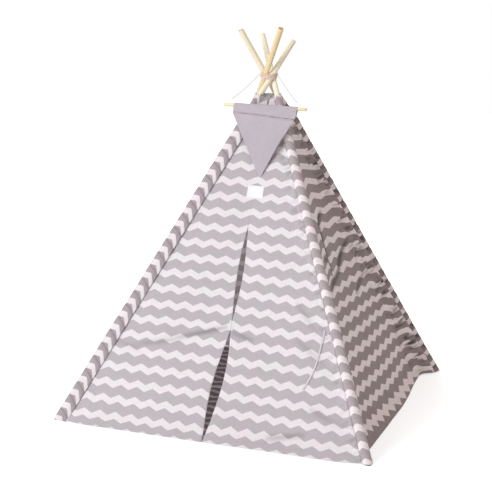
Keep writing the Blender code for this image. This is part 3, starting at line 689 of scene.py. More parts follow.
for seed, (corner, angle) in enumerate(pole_headings.items()):
    out = heading(angle)
    side = heading(angle + 90)
    square = out * math.cos(splay) + Vector((0, 0, math.sin(splay)))
    along = Vector((0, 0, math.cos(splay))) - out * math.sin(splay)
    around = math.pi * (sleeve_half_width + sleeve_half_depth)
    sleeve_cotton = printed_cotton("printed cotton of sleeve " + corner, *sleeve_painted_tones[corner])

    def sleeve_spot(across, share):
        """Height and turn of a place on the sleeve. across runs back from the seam to the next side."""
        return sleeve_hem + (cover_height - sleeve_hem) * share, 2 * math.pi * (1 - across)

    def sleeve_flat(across, share):
        """Place on the flat strip, which the thread has gathered along its length."""
        shift, rise, gather = sleeve_print[corner]
        height, turn = sleeve_spot(across, share)
        outward = sleeve_half_sizes(height)[1] * math.sin(turn)
        long = (height - outward * math.sin(splay)) / math.cos(splay)
        ear = lap_reach(corner, turn) * lap_print
        place = around * (1 - across) + (ear if turn > math.pi else -ear)
        return place - shift * MM, long * gather + rise * MM + lap_drop * lap_reach(corner, turn)

    def sleeve_shade(across, share):
        """Painted shade on a place of the sleeve, from 0 to 1: in its puckers and row creases, on the lower
        half of each grey kite and on the front left ear.
        """
        height, turn = sleeve_spot(across, share)
        up = sleeve_flat(across, share)[1]
        row = (up / row_pitch) % 1 - 1 / 2
        wave = ring_noise(turn, gather_waves, height / gather_pitch + 40 * seed)
        dark = row_fold(turn, height, up) * min(row_crease_darkest, row_crease[corner] / row_crease_dark)
        dark += kite_shade[corner] * (ease((row + kite_start) / kite_fade) if row < 0 else 0)
        dark += lap_dimming * lap_reach(corner, turn) / sleeve_ear[lapped_sleeve][0]
        dark += max(0, -wave - gather_rest) * (sleeve_gathers[corner] - gather_bare) / gather_dark
        return max(0, min(1, dark))

    def sleeve_place(across, share):
        """Point of the sleeve, with its puckers, creases, ear and ruffled top."""
        height, turn = sleeve_spot(across, share)
        half_width, half_depth = sleeve_half_sizes(height)
        calm = ease((height - hem_corner_height) / sleeve_calm - sleeve_calm_start)
        calm *= ease((cover_height - height) / sleeve_calm)
        wave = ring_noise(turn, gather_waves, height / gather_pitch + 40 * seed)
        slow = ring_noise(turn, 1, height / sleeve_swell_size + 17 * seed)
        pull = (pucker_rest - pucker_swing * wave) * sleeve_gathers[corner]
        pull *= pucker_front + (1 - pucker_front) * math.cos(turn) ** 4
        pull = max(0, pull) * calm + (0.5 + 0.5 * slow) * sleeve_swell * calm
        pull += row_crease[corner] * row_fold(turn, height, sleeve_flat(across, share)[1]) * calm
        sideways = (half_width - pull * pucker_sideways) * math.cos(turn)
        outward = (half_depth - pull) * math.sin(turn)
        level = (height - crossing_height - outward * math.sin(splay)) / math.cos(splay)
        place = pole_point(corner, crossing_height) + square * outward + side * sideways + along * level
        lap = Vector()
        if corner in sleeve_ear:
            lap = sleeve_ear[corner][2] * ear_reach(corner, turn)
            lap *= ease((cover_height - height) / ear_top_fade)
        crown = max(0, (height - cover_height + crown_reach) / crown_reach)
        place += lap + along * (ring_noise(turn, crown_waves, 3 * seed) * crown_rise) * crown * crown
        place.z = max(place.z, floor_clear)
        return place

    shares = [number / sleeve_points for number in range(sleeve_points)]
    shares = [share - sleeve_crowding * math.sin(4 * math.pi * share) / (4 * math.pi) for share in shares]
    tube = cloth_grid("sleeve_cloth_" + corner, sleeve_place, sleeve_flat, shares, even(sleeve_rings),
                      cloth_thickness, (sleeve_cotton, cotton_back_painted_glow), closed=True, level=0,
                      shade=sleeve_shade)
    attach(tube, pole_bodies[corner])
    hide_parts("sleeve_" + corner)

# Right, back and left sides: each is one triangle of printed cotton sewn to the sleeves at its two edges,
# with a doubled hem at the floor. Its own weight bellies it in, and the folds run between its corners.
side_corners = {"front": ("fl", "fr", 270), "right": ("fr", "rr", 0), "back": ("rr", "rl", 90),
                "left": ("rl", "fl", 180)}
side_tilt = math.atan2(base_side / 2, crossing_height)
seam_reach = 0.1 * MM
side_sag = {"front": 14 * MM, "right": 24 * MM, "back": 20 * MM, "left": 20 * MM}
hem_bow = {"front": 0, "right": 78 * MM, "back": 26 * MM, "left": 26 * MM}
hem_flare = {"front": 15 * MM, "right": 40 * MM, "back": 12 * MM, "left": 12 * MM}
hem_flare_height = 66 * MM
hem_corner = 90 * MM
hem_bow_fade = 4
hem_bow_slant = {"front": 0, "right": 0.3, "back": 0, "left": 0}
hem_band = 18 * MM
hem_proud = 0.5 * MM
hem_edge = 1.5 * MM
hem_step = 2 * MM
slow_swell = 2.4 * MM
slow_swell_size = 190 * MM
fine_ripple = 0.8 * MM
fine_ripple_size = 45 * MM
relief_fade = 12 * MM
seam_gather = {"fl": 2.4 * MM, "fr": 3.6 * MM, "rr": 9 * MM, "rl": 3 * MM}
seam_gather_reach = {"fl": 26 * MM, "fr": 34 * MM, "rr": 70 * MM, "rl": 40 * MM}
gather_step = 17 * MM
gather_run = 60 * MM
gather_lean = 0.4
gather_share = 0.11
gather_swing = 3
gather_flat = 0.6
gather_top_fade = 100 * MM
seam_dip = 24 * MM
seam_dip_reach = 62 * MM
seam_dip_share = 0.12
seam_dip_fade = 480 * MM
seam_dip_top_fade = 300 * MM
jagged = 1.3
narrow_fold = 15 * MM
fold_end_depth = 0.35
# Painted shade of the sides: fold and gather depth at darkest, how pale a standing gather gets, and the
# front's bunched top.
fold_dark = {"front": 9 * MM, "right": 6 * MM, "back": 9 * MM, "left": 9 * MM}
seam_dark = 10 * MM
painted_highlight_limit = -0.12
top_shade_drop = 60 * MM
top_shade = 1.1
top_shade_size = (14 * MM, 45 * MM)

# Folds of each side: start and end as shares across and up the side, and width and depth in millimetres.
side_folds = {
    "front": [((0.26, 0.27), (0.36, 0.285), 42, 9), ((0.58, 0.075), (0.78, 0.055), 42, 9),
              ((0.28, 0.268), (0.49, 0.312), 9, 5), ((0.10, 0.235), (0.27, 0.262), 10, 4),
              ((0.53, 0.300), (0.62, 0.285), 9, 4), ((0.70, 0.030), (0.82, 0.052), 10, 5),
              ((0.03, 0.245), (0.14, 0.225), 9, 4), ((0.86, 0.40), (0.93, 0.33), 10, 4),
              ((0.84, 0.30), (0.95, 0.24), 10, 4), ((0.86, 0.12), (0.95, 0.09), 10, 5)],
    "right": [((0.86, 0.50), (0.44, 0.465), 34, 9), ((0.44, 0.465), (0.08, 0.455), 34, 9),
              ((0.33, 0.57), (0.28, 0.47), 30, 9), ((0.90, 0.512), (0.46, 0.452), 9, 11),
              ((0.46, 0.452), (0.05, 0.43), 9, 9), ((0.36, 0.60), (0.27, 0.46), 10, 11),
              ((0.30, 0.60), (0.62, 0.625), 9, 7), ((0.10, 0.52), (0.30, 0.50), 9, 8),
              ((0.62, 0.36), (0.93, 0.40), 9, 6)],
    "back": [((0.10, 0.42), (0.55, 0.33), 42, 9), ((0.55, 0.33), (0.92, 0.40), 42, 9),
             ((0.12, 0.44), (0.50, 0.35), 9, 7), ((0.60, 0.20), (0.88, 0.26), 10, 5)],
    "left": [((0.10, 0.36), (0.60, 0.44), 42, 9), ((0.35, 0.18), (0.90, 0.24), 42, 9),
             ((0.08, 0.38), (0.55, 0.46), 9, 7), ((0.40, 0.20), (0.80, 0.23), 10, 5)],
}
side_seeds = {"front": 3, "right": 19, "back": 41, "left": 67}


def seam_point(corner, side, height):
    """Seam of the cover on a sleeve. side is 1 for the edge towards the next corner, -1 for the other."""
    reach = sleeve_half_sizes(height)[0] + seam_reach
    return pole_point(corner, height) + heading(pole_headings[corner] + 90) * side * reach


def side_width(height):
    """Width of one side between the middles of its sleeves at a height."""
    return base_side * (1 - height / crossing_height)


def fold_run(start, end, width, depth):
    """Fold as the place where it starts, its run, and its width and depth, on the flat side."""
    low, high = [Vector(((share - 1 / 2) * side_width(up * cover_height), up * cover_height))
                 for share, up in (start, end)]
    return low, high - low, (high - low).length_squared, width * MM, depth * MM


fold_runs = {side: [fold_run(*fold) for fold in folds] for side, folds in side_folds.items()}


def pressed_by(side, across, height, widest=1):
    """How deep the folds no wider than so much press a side in at a place."""
    place = Vector(((across - 1 / 2) * side_width(height), height))
    inward = 0
    for start, run, squared, width, depth in fold_runs[side]:
        if width <= widest:
            from_start = place - start
            along = max(0, min(1, from_start.dot(run) / squared))
            away = (from_start - run * along).length / width
            fade = math.sin(math.pi * min(0.85, 0.15 + along * 0.7))
            fade = fold_end_depth + (1 - fold_end_depth) * fade
            if away < 3:
                inward = max(inward, depth * fade * math.exp(-away * away))
    return inward * math.sin(math.pi * across) ** 0.6


def seam_pucker(side, across, height):
    """Depth of the gathers at the nearer seam of a side."""
    gap = min(across, 1 - across) * side_width(height)
    corner = side_corners[side][1 if across > 1 / 2 else 0]
    reach = min(seam_gather_reach[corner], gather_share * side_width(height))
    if gap > 3 * reach:
        return 0
    seed = side_seeds[side] + (7 if across > 1 / 2 else 0)
    pucker = noise.noise(Vector((gap / gather_run, (height + gather_lean * gap) / gather_step, seed)))
    pucker = (abs(pucker) * gather_swing - gather_flat) * seam_gather[corner] * math.exp(-(gap / reach) ** 2)
    return pucker * ease((cover_height - height) / gather_top_fade)


def rear_dip(across, height):
    """How far the slack right side drops away from the rear sleeve, which holds its edge out."""
    gap = (1 - across) * side_width(height)
    reach = min(seam_dip_reach, seam_dip_share * side_width(height))
    dip = seam_dip * ease(gap / reach) * (1 - ease((gap - reach) / seam_dip_fade))
    return dip * ease((cover_height - height) / seam_dip_top_fade)


def side_shade(side, across, height):
    """Painted shade on a place of a side, up to 1: in a narrow fold or seam gather, and in the bunched top
    of the front. Under 0 it is a painted highlight, paler, where a gather stands out.
    """
    dark = pressed_by(side, across, height, narrow_fold) / fold_dark[side]
    dark += seam_pucker(side, across, height) / seam_dark
    if side == "front":
        bunched = ease((height - cover_height + top_shade_drop) / top_shade_drop)
        spot = Vector((across * side_width(height) / top_shade_size[0], height / top_shade_size[1], 9))
        dark += bunched * max(0, noise.noise(spot) + 0.05) * top_shade
    return max(painted_highlight_limit, min(1, dark))


def small_relief(side, across, height):
    """How far the small ripples and the gathers at the seams stand out of a side."""
    width = side_width(height)
    seed = side_seeds[side]
    spot = Vector(((across - 1 / 2) * width, height, 0))
    gap = min(across, 1 - across) * width
    swell = noise.noise(spot / slow_swell_size + Vector((seed, 0, 0))) * slow_swell
    ripple = noise.noise(spot / fine_ripple_size + Vector((0, seed, 0))) * fine_ripple
    return (swell + ripple - seam_pucker(side, across, height)) * ease(gap / relief_fade)


def hem_height(across):
    """Height of the cover's bottom edge."""
    return sleeve_hem - (sleeve_hem - hem_middle_height) * math.sin(math.pi * across)


def side_point(side, across, height, middle=None):
    """Point on the outside of a side. middle is its place before any fold, for the front."""
    first, second, facing = side_corners[side]
    level = height / cover_height
    belly = math.sin(math.pi * max(0, min(1, across)))
    corner = ease(min(across, 1 - across) * side_width(height) / hem_corner)
    corner *= 1 - hem_bow_slant[side] * across
    inward = hem_bow[side] * corner * max(0, 1 - level) ** hem_bow_fade
    inward -= hem_flare[side] * corner * max(0, 1 - height / hem_flare_height) ** 2
    inward += pressed_by(side, across, height)
    if middle is None:
        middle = seam_point(first, 1, height).lerp(seam_point(second, -1, height), across)
        inward += side_sag[side] * belly * math.sin(math.pi * max(0, min(1, level)))
        inward += rear_dip(across, height) if side == "right" else 0
    outward = heading(facing) * math.cos(side_tilt) + Vector((0, 0, math.sin(side_tilt)))
    proud = small_relief(side, across, height) + cloth_thickness / 2
    if height - hem_height(across) < hem_band:
        proud += hem_proud
    return middle - heading(facing) * inward + outward * proud


def hem_shares(count):
    """Shares up a side, with close rows at the hem."""
    tall = cover_height - hem_middle_height
    edge = [0, hem_edge / tall, (hem_band - hem_step) / tall, hem_band / tall]
    return edge + [edge[-1] + (1 - edge[-1]) * number / count for number in range(1, count + 1)]


def side_flat(side, across, height, shift=(0, 0)):
    """Place on the flat cut of a side: from its middle line, and up the cloth from the floor."""
    first, second, facing = side_corners[side]
    place = seam_point(first, 1, height).lerp(seam_point(second, -1, height), across)
    return place.dot(heading(facing + 90)) - shift[0], height / math.cos(side_tilt) - shift[1]


# The cloth of the right side is pulled out sideways, most in the middle, and its rows sag a little towards
# the back. These are the terms of the smooth surface that its print follows, in metres on the side.
pull_height = 0.42
pull_middle = 0.25
pull_across = (0.2797, 0.7562, -0.3199, 0.4682, -0.621,
               -0.7539, 0.157, 0.931, -0.161, 0.179, -0.503)
pull_up = (0.004, 0.06, -0.034, 0.124, 0.215, 0.099, -0.037, -0.065)
pull_rise = 0.975


def pulled_flat(across, height):
    """Place on the flat cut of the right side."""
    y = seam_point("fr", 1, height).lerp(seam_point("rr", -1, height), across).y
    low = min(height, pull_height)
    up = max(0, height - pull_height)
    level = low - pull_middle
    u = sum(share * term for share, term in zip(pull_across, (
        1, y, y * y, low, y * low, low * low, y ** 3, y * y * low, up, up * up, y * up)))
    v = sum(share * term for share, term in zip(pull_up, (
        1, y, y * y, y * level, level * level, up, up * up, y * up)))
    return u, v + pull_rise * (height / math.cos(side_tilt) - pull_middle)


tuck_low = (0.46, 0.27)
tuck_high = (0.60, 0.36)
tuck_start = (0.44, 0.03)
tuck_end = (0.64, 0.05)
tuck_shift = 26 * MM
tuck_edge = 10 * MM


def tucked(across, height):
    """How far the print of the right side is shifted where the cloth is folded under, by the front pole."""
    level = height / cover_height
    (low, low_across), (high, high_across) = tuck_low, tuck_high
    steep = low_across + (level - low) / (high - low) * (high_across - low_across)
    inside = ease((steep - across) * side_width(height) / tuck_edge)
    begun = ease((level - tuck_start[0]) / tuck_start[1])
    return tuck_shift * inside * begun * ease((tuck_end[0] - level) / tuck_end[1])


def side_spot(across, share, half):
    """Share across a side and height of a place on its first or second half."""
    reach = (across + half) / 2
    low = hem_height(reach)
    return reach, low + (cover_height - low) * share


half_columns = 84
side_rows = 176
for side in ("right", "back", "left"):
    for half, corner in enumerate(side_corners[side][:2]):
        def half_place(across, share):
            """Point of one half of the side."""
            return side_point(side, *side_spot(across, share, half))

        def half_flat(across, share):
            """Its place on the flat cut."""
            reach, height = side_spot(across, share, half)
            if side != "right":
                return side_flat(side, reach, height)
            u, v = pulled_flat(reach, height)
            return u, v + seam_pucker(side, reach, height) * jagged + tucked(reach, height)

        def half_shade(across, share):
            """Its painted shade in folds and gathers."""
            return side_shade(side, (across + half) / 2, hem_middle_height + cover_height * share)

        panel = cloth_grid(f"{side}_side_cloth_{corner}", half_place, half_flat, even(half_columns),
                           hem_shares(side_rows), cloth_thickness, (shaded_side_face, cotton_back_painted_glow), level=0,
                           shade=half_shade)
        edge = seam_point(corner, -1 if half else 1, 0)
        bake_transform(panel)
        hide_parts("cover_" + side)

# Front: the same cloth, cut up the middle from the floor for the door. Each half is sewn to its sleeve, and
# below the top of the slit it folds back as a flap along a line from the foot of the pole to that top.
# slit_line gives heights on the slit and how far it lies to the right there.
slit_top = 738 * MM
slit_draw = 20 * MM
slit_clearance = 0.6 * MM
slit_upper_gape = 22 * MM
slit_lower_gape = 38 * MM
flap_hinge_offset = 15 * MM
tab_height = 388 * MM
tab_length = 34 * MM
slit_line = ((0, -10 * MM), (388 * MM, 12 * MM), (738 * MM, 10 * MM), (1215 * MM, 6 * MM))
top_gap = 5 * MM
top_gap_drop = 70 * MM
top_ruffle = 5 * MM
top_ruffle_size = (16 * MM, 40 * MM)
crown_spikes = 14
front_columns = 88
front_rows = 180
front_print = {"left": (20 * MM, 48.2 * MM), "right": (32.1 * MM, 52.8 * MM)}
hem_slack = 16 * MM
hem_slack_height = 40 * MM
slit_row_gap = 0.003
slit_row = 0.002
front_out = Vector((0, -math.cos(side_tilt), math.sin(side_tilt)))


def front_seams(height):
    """Left and right seam of the front at a height."""
    return seam_point("fl", 1, height), seam_point("fr", -1, height)


def slit_head(height):
    """Middle of the front at a height above the slit, drawn in most at the top of the slit."""
    left, right = front_seams(height)
    draw = slit_draw * (cover_height - height) / (cover_height - slit_top)
    return left.lerp(right, 1 / 2) + Vector((0, draw, 0))


def fold_line(hand, height):
    """Point of the straight line that a flap folds on."""
    left, right = front_seams(hem_corner_height)
    inset = flap_hinge_offset / (right - left).length
    foot = left.lerp(right, inset if hand == "left" else 1 - inset)
    return foot.lerp(slit_head(slit_top), (height - hem_corner_height) / (slit_top - hem_corner_height))


def front_middle(across, height):
    """Place on the front before its folds: flat beside the slit's top and by the poles, with a belly
    between the two fold lines."""
    left, right = front_seams(height)
    if height >= slit_top:
        if across <= 1 / 2:
            return left.lerp(slit_head(height), 2 * across)
        return slit_head(height).lerp(right, 2 * across - 1)
    run = right - left
    hinge = (fold_line("left", height) - left).dot(run) / run.length_squared
    if across <= hinge:
        return left.lerp(fold_line("left", height), across / hinge)
    if across >= 1 - hinge:
        return fold_line("right", height).lerp(right, (across - 1 + hinge) / hinge)
    share = (across - hinge) / (1 - 2 * hinge)
    belly = math.sin(math.pi * share) * math.sin(math.pi * max(0, height / slit_top))
    return fold_line("left", height).lerp(fold_line("right", height), share) + Vector(
        (0, side_sag["front"] * belly, 0))


def front_width(height):
    """Width of the front between its seams at a height."""
    left, right = front_seams(height)
    return (right - left).length


def front_point(across, height, proud=0):
    """Point on the outside of the front, or so far proud of it."""
    place = side_point("front", across, height, front_middle(across, height))
    bunched = ease((height - cover_height + top_gap_drop) / top_gap_drop) * math.sin(math.pi * across)
    spot = Vector((across * front_width(height) / top_ruffle_size[0], height / top_ruffle_size[1], 9))
    return place + front_out * (proud + noise.noise(spot) * top_ruffle * bunched)


def slit_half_gap(height):
    """Half the gap of the slit at a height. It is closed at the floor, the tabs and its top."""
    tab_top = tab_height + tab_length / 2
    tab_bottom = tab_height - tab_length / 2
    gape = 0
    if height >= tab_top:
        gape = slit_upper_gape * math.sin(math.pi * min(1, (height - tab_top) / (slit_top - tab_top)))
    elif height <= tab_bottom:
        gape = slit_lower_gape * math.sin(math.pi * max(0, height - hem_middle_height) / tab_bottom)
    if height >= slit_top:
        return top_gap * ease((height - cover_height + top_gap_drop) / top_gap_drop)
    return (slit_clearance + max(0, gape)) / 2


def slit_middle(height):
    """How far the slit's line lies to the right of the front's middle at a height."""
    for (low, first), (high, second) in zip(slit_line, slit_line[1:]):
        if height <= high:
            return first + (second - first) * ease((height - low) / (high - low))
    return slit_line[-1][1]


def slit_edge(hand, height):
    """Place across the front of the slit's edge on one half."""
    side = -1 if hand == "left" else 1
    return 1 / 2 + (slit_middle(height) + side * slit_half_gap(height)) / front_width(height)


def front_across(hand, share, height):
    """Place across the front of a share of one half, which runs left to right."""
    inner = slit_edge(hand, height)
    return share * inner if hand == "left" else inner + share * (1 - inner)


def bend_with_flap(piece):
    """Bakes the place of a piece of the front into its mesh."""
    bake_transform(piece)


slit_share = (slit_top - hem_middle_height) / (cover_height - hem_middle_height)
front_shares = sorted([share for share in hem_shares(front_rows) if abs(share - slit_share) > slit_row_gap]
                      + [slit_share - slit_row, slit_share])
for order, hand in enumerate(("left", "right")):
    def front_place(across, share):
        """Point of one half of the front."""
        reach, height = side_spot(across, share, order)
        place = front_point(front_across(hand, across, height), height)
        crown = max(0, (height - cover_height + crown_reach) / crown_reach) ** 2 * math.sin(math.pi * across)
        spike = noise.noise(Vector((reach * crown_spikes, 0, 4)))
        return place + Vector((0, 0, crown * crown_rise * spike))

    def front_flat(across, share):
        """Its place on the flat cut."""
        reach, height = side_spot(across, share, order)
        u, v = side_flat("front", front_across(hand, across, height), height, front_print[hand])
        return u, v - hem_slack * max(0, 1 - height / hem_slack_height) ** 2

    def front_shade(across, share):
        """Its painted shade in folds and gathers."""
        height = hem_middle_height + (cover_height - hem_middle_height) * share
        return side_shade("front", front_across(hand, across, height), height)

    half = cloth_grid("front_cloth_" + hand, front_place, front_flat, even(front_columns), front_shares,
                      cloth_thickness, (cotton_face, cotton_back_painted_glow), level=0, shade=front_shade)
    bend_with_flap(half)
    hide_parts("front_web_" + hand, "door_flap_" + hand)

# Floor mat: two layers of the printed cotton with thin wadding between them, sewn together at the edge. It
# lies loose on the floor inside the cover.
mat_top = 3.2 * MM
mat_thickness = 2.4 * MM
mat_clear = 1.6 * MM
mat_swell = 0.5 * MM
mat_swell_size = 120 * MM
mat_edge_reach = 0.45
mat_cut = 0.92
mat_rim_steps = 12
mat_rim_drop = 0.6
mat_steps = 26
mat_print = (9 * MM, 12 * MM)


def mat_rim(side, across):
    """Point of the mat's rim, just inside the hem of a side."""
    place = front_point(across, mat_top) if side == "front" else side_point(side, across, mat_top)
    place -= heading(side_corners[side][2]) * (cloth_thickness + mat_clear)
    return Vector((place.x, place.y, 0))


def mat_rim_run(side, step, share, corner_cut):
    """Point of the rim from the middle of a side to the middle of the mat's cut corner."""
    if share <= mat_cut:
        return mat_rim(side, 1 / 2 + step * mat_edge_reach * share / mat_cut)
    return mat_rim(side, 1 / 2 + step * mat_edge_reach).lerp(corner_cut, (share - mat_cut) / (1 - mat_cut))


for before, after in (("front", "right"), ("right", "back"), ("back", "left"), ("left", "front")):
    corner = side_corners[before][1]
    corner_cut = (mat_rim(before, 1 / 2 + mat_edge_reach) + mat_rim(after, 1 / 2 - mat_edge_reach)) / 2

    def mat_place(u, v):
        """Point of one quarter of the mat. u runs out to the side before the corner, v to the one after."""
        first, second = mat_rim(before, 1 / 2), mat_rim(after, 1 / 2)
        far = mat_rim_run(before, 1, v, corner_cut)
        near = mat_rim_run(after, -1, u, corner_cut)
        place = first * u * (1 - v) + near * v + second * v * (1 - u) + far * u
        place -= first * u * (1 - v) + second * v * (1 - u) + corner_cut * u * v
        swell = noise.noise(place / mat_swell_size) * mat_swell
        rim = min(1, (1 - max(u, v)) * mat_rim_steps)
        return Vector((place.x, place.y, mat_top - mat_swell * mat_rim_drop * (1 - rim) + swell * rim))

    def mat_flat(u, v):
        """Its place on the flat cloth."""
        place = mat_place(u, v)
        return place.x - mat_print[0], place.y - mat_print[1]

    # The mat wears the shaded copy of the print: painted shade inside the cover.
    quarter = cloth_grid("floor_mat_cloth_" + corner, mat_place, mat_flat, even(mat_steps), even(mat_steps),
                         mat_thickness, (shaded_side_face, cotton_back_painted_glow))
    foot = mat_rim(before, 1 / 2 + mat_edge_reach)
    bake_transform(quarter)
    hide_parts("floor_mat")

# Door tabs: a hook strip on one flap meets a loop strip on the other and holds the door shut halfway up.
# Both are white nylon tape, cut short and sewn down all round.
tab_width = 9 * MM
tab_thickness = 1 * MM
tab_lift = 0.2 * MM
tab_rim = 0.7
loop_size = 1.2 * MM
nylon_loop, tree, shader = surface("nylon hook and loop tape", Base_Color=linear("#EDEAEC"), Roughness=0.8,
                                   IOR=1.53, Sheen_Weight=0.3)
strip_map = add_node(tree, "UVMap", uv_map="flat")
loops = add_node(tree, "TexVoronoi", {"Vector": strip_map, "Scale": 1 / loop_size})
# Painted shade in the hollows between the nylon loops.
relief = hollow_shade_and_relief(tree, shader, loops.outputs["Distance"], "#F4F1F3", "#CFCACD", 0.5 * MM, 1)
relief.invert = True


def strip_flat(width, length):
    """Map of a strip of this size: from shares across and along it to its place on the tape."""
    return lambda across, share: (across * width, share * length)


for hand in ("left", "right"):
    def tab_place(across, share):
        """Point of the strip, from its outer edge to the slit."""
        height = tab_height + tab_length * (share - 1 / 2)
        inner = slit_edge(hand, height)
        inset = tab_width / front_width(height) * (1 - across if hand == "left" else across)
        place = inner - inset if hand == "left" else inner + inset
        dome = math.sin(math.pi * across) ** 0.5 * math.sin(math.pi * share) ** 0.5
        return front_point(place, height, tab_lift + tab_thickness * (tab_rim + (1 - tab_rim) * dome))

    strip = cloth_grid("door_tab_" + hand, tab_place, strip_flat(tab_width, tab_length), even(8), even(24),
                       tab_thickness, (nylon_loop,))
    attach(strip, "flap_" + hand)
    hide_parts("closure_tab_" + hand)

# Label: a bare piece of white satin tape over the door, its cut ends turned under and sewn down all round.
label_width = 64 * MM
label_length = 48 * MM
label_height = 862 * MM
label_shift = 16 * MM
label_thickness = 0.8 * MM
label_lift = 0.3 * MM
stitch_inset = 2.5 * MM
stitch_width = 1.2 * MM
stitch_depth = 0.4 * MM
satin, tree, shader = surface("white satin tape", Base_Color=linear("#F6F3F6"), Roughness=0.42, IOR=1.5,
                              Sheen_Weight=0.1)
label_map = add_node(tree, "UVMap", uv_map="flat")
floats = streaks(tree, label_map, 0.9 * MM, 14 * MM, Detail=2)
# Painted shade between the satin floats, paler on them.
hollow_shade_and_relief(tree, shader, floats, "#E0DCE0", "#F1EFF1", 0.1 * MM, 0.6)


def label_place(across, share):
    """Point of the label. It is sunk a little where the stitches hold it."""
    height = label_height + label_length * math.cos(side_tilt) * (share - 1 / 2)
    reach = 1 / 2 + ((across - 1 / 2) * label_width + label_shift) / front_width(height)
    edge = min(min(across, 1 - across) * label_width, min(share, 1 - share) * label_length)
    sewn = math.exp(-((edge - stitch_inset) / stitch_width) ** 2) * stitch_depth
    return front_point(reach, height, label_lift + label_thickness - sewn)


label = cloth_grid("blank_label", label_place, strip_flat(label_width, label_length), even(36), even(26),
                   label_thickness, (satin,))
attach(label, "web_right")
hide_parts("label_patch")

# Tie tape: narrow cotton twill tape sewn in at the front right seam, to tie the rolled flap back with. It
# hangs free against the cover. Its shares are places across the front and up the cover.
tape_width = 6 * MM
tape_thickness = 0.8 * MM
tape_lift = 1.1 * MM
tape_shares = [(0.975, 0.339), (0.949, 0.305), (0.921, 0.268), (0.893, 0.231), (0.864, 0.200),
               (0.835, 0.172)]
tape_steps = 10
tape_curl = 3 * MM
tape_twist = 1.5 * MM
tape_twists = 7
twill_pitch = 1.6 * MM
twill, tree, shader = surface("white twill tape", Base_Color=linear("#DAD4D8"), Roughness=0.85, IOR=1.47,
                              Sheen_Weight=0.1)
tape_map = add_node(tree, "UVMap", uv_map="flat")
split = add_node(tree, "SeparateXYZ", {0: tape_map})
slant = add_node(tree, "Math", {0: split, 1: split.outputs[1]}, operation="ADD")
ribs = add_node(tree, "Math", {0: slant, 1: twill_pitch / 2}, operation="PINGPONG")
ribs = add_node(tree, "Math", {0: ribs, 1: 2 / twill_pitch}, operation="MULTIPLY")
# Painted shade between the twill ribs, paler on their crowns.
hollow_shade_and_relief(tree, shader, ribs, "#C6C0C4", "#E3DDE1", 0.2 * MM, 0.8)


def smooth_line(points, steps):
    """Points of a smooth curve through chosen points."""
    line = []
    last = len(points) - 1
    for span in range(last):
        before = points[max(0, span - 1)]
        start, end = points[span], points[span + 1]
        after = points[min(last, span + 2)]
        for step in range(steps):
            share = step / steps
            line.append(((2 * start) + (end - before) * share
                         + (2 * before - 5 * start + 4 * end - after) * share ** 2
                         + (3 * start - before - 3 * end + after) * share ** 3) / 2)
    line.append(points[-1])
    return line


tape_line = smooth_line([Vector((share, up * cover_height, 0)) for share, up in tape_shares], tape_steps)


def tape_place(across, share):
    """Point of the tape, with its edges curling a little off the cover."""
    spot = share * (len(tape_line) - 1)
    low = min(int(spot), len(tape_line) - 2)
    middle = tape_line[low].lerp(tape_line[low + 1], spot - low)
    run = tape_line[low + 1] - tape_line[low]
    run = Vector((run.x * front_width(middle.y), run.y)).normalized()
    shift = (across - 1 / 2) * tape_width
    level = middle.y + shift * run.x
    reach = middle.x - shift * run.y / front_width(level)
    curl = (across - 1 / 2) ** 2 * tape_curl + math.sin(tape_twists * share) ** 2 * across * tape_twist
    return front_point(reach, level, tape_lift + tape_thickness + curl)


tape_middle = [tape_place(1 / 2, share) for share in even(len(tape_line) - 1)]
tape_long = lengths_along(tape_middle)[-1]
tape = cloth_grid("tie_tape_twill", tape_place, strip_flat(tape_width, tape_long), even(6), even(60),
                  tape_thickness, (twill,))
bend_with_flap(tape)
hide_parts("tie_tape")

# Lashing: soft cotton rope of three strands, wound round the crossing in one unbroken helix that follows
# the waist of the poles, with its ends tucked in.
rope_diameter = 4 * MM
rope_gap = 0.6 * MM
rope_turns = 4.5
rope_loop_points = 60
lashing_drop = -5 * MM
pole_clearance = 0.3 * MM
strand_radius = 1.15 * MM
strand_offset = 0.95 * MM
strand_lay = 15 * MM
soft_rope, tree, shader = surface("soft cotton rope", Base_Color=linear("#E6D3C6"), Roughness=0.9, IOR=1.47,
                                  Sheen_Weight=0.2)
rope_map = add_node(tree, "UVMap", uv_map="flat")
yarns = streaks(tree, rope_map, 0.5 * MM, 3 * MM, Detail=2)
# Painted shade between the yarns of the rope, paler on their crowns.
hollow_shade_and_relief(tree, shader, yarns, "#E8C0AD", "#FDEEE4", 0.3 * MM, 0.8)


def bundle_reach(rise):
    """Distance from the middle axis to the outermost wood, at a height over the crossing."""
    offset = rise * math.tan(splay)
    lean = math.atan2(abs(offset), bundle_radius)
    width = math.hypot(pole_radius * math.cos(lean), pole_radius / math.cos(splay) * math.sin(lean))
    return math.hypot(bundle_radius, offset) + width


def strands(name, line, count, offset, radius, lay_length, look, sides=8):
    """Rope as one mesh of strands laid round each other along a line."""
    along = lengths_along(line)
    frames = ring_frames(line)
    pieces = []
    for strand in range(count):
        path = []
        for middle, (side, other), place in zip(line, frames, along):
            turn = 2 * math.pi * (place / lay_length + strand / count)
            path.append(middle + (side * math.cos(turn) + other * math.sin(turn)) * offset)
        pieces.append(cord_mesh(f"{name}_{strand}", path, radius, look, sides))
    with bpy.context.temp_override(active_object=pieces[0], selected_editable_objects=pieces,
                                   selected_objects=pieces, object=pieces[0]):
        bpy.ops.object.join()
    pieces[0].name = pieces[0].data.name = name
    return pieces[0]


rope_line = []
for number in range(round(rope_turns * rope_loop_points) + 1):
    turn = number / rope_loop_points
    rise = (turn - rope_turns / 2) * (rope_diameter + rope_gap) - lashing_drop
    edge = max(bundle_reach(rise - rope_diameter / 2), bundle_reach(rise + rope_diameter / 2))
    reach = edge + pole_clearance + rope_diameter / 2
    rope_line.append(heading(360 * turn - 90) * reach + Vector((0, 0, crossing_height + rise)))
lashing = strands("lashing_strands", rope_line, 3, strand_offset, strand_radius, strand_lay, soft_rope)
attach(lashing, "cover")
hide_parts("lashing_rope")

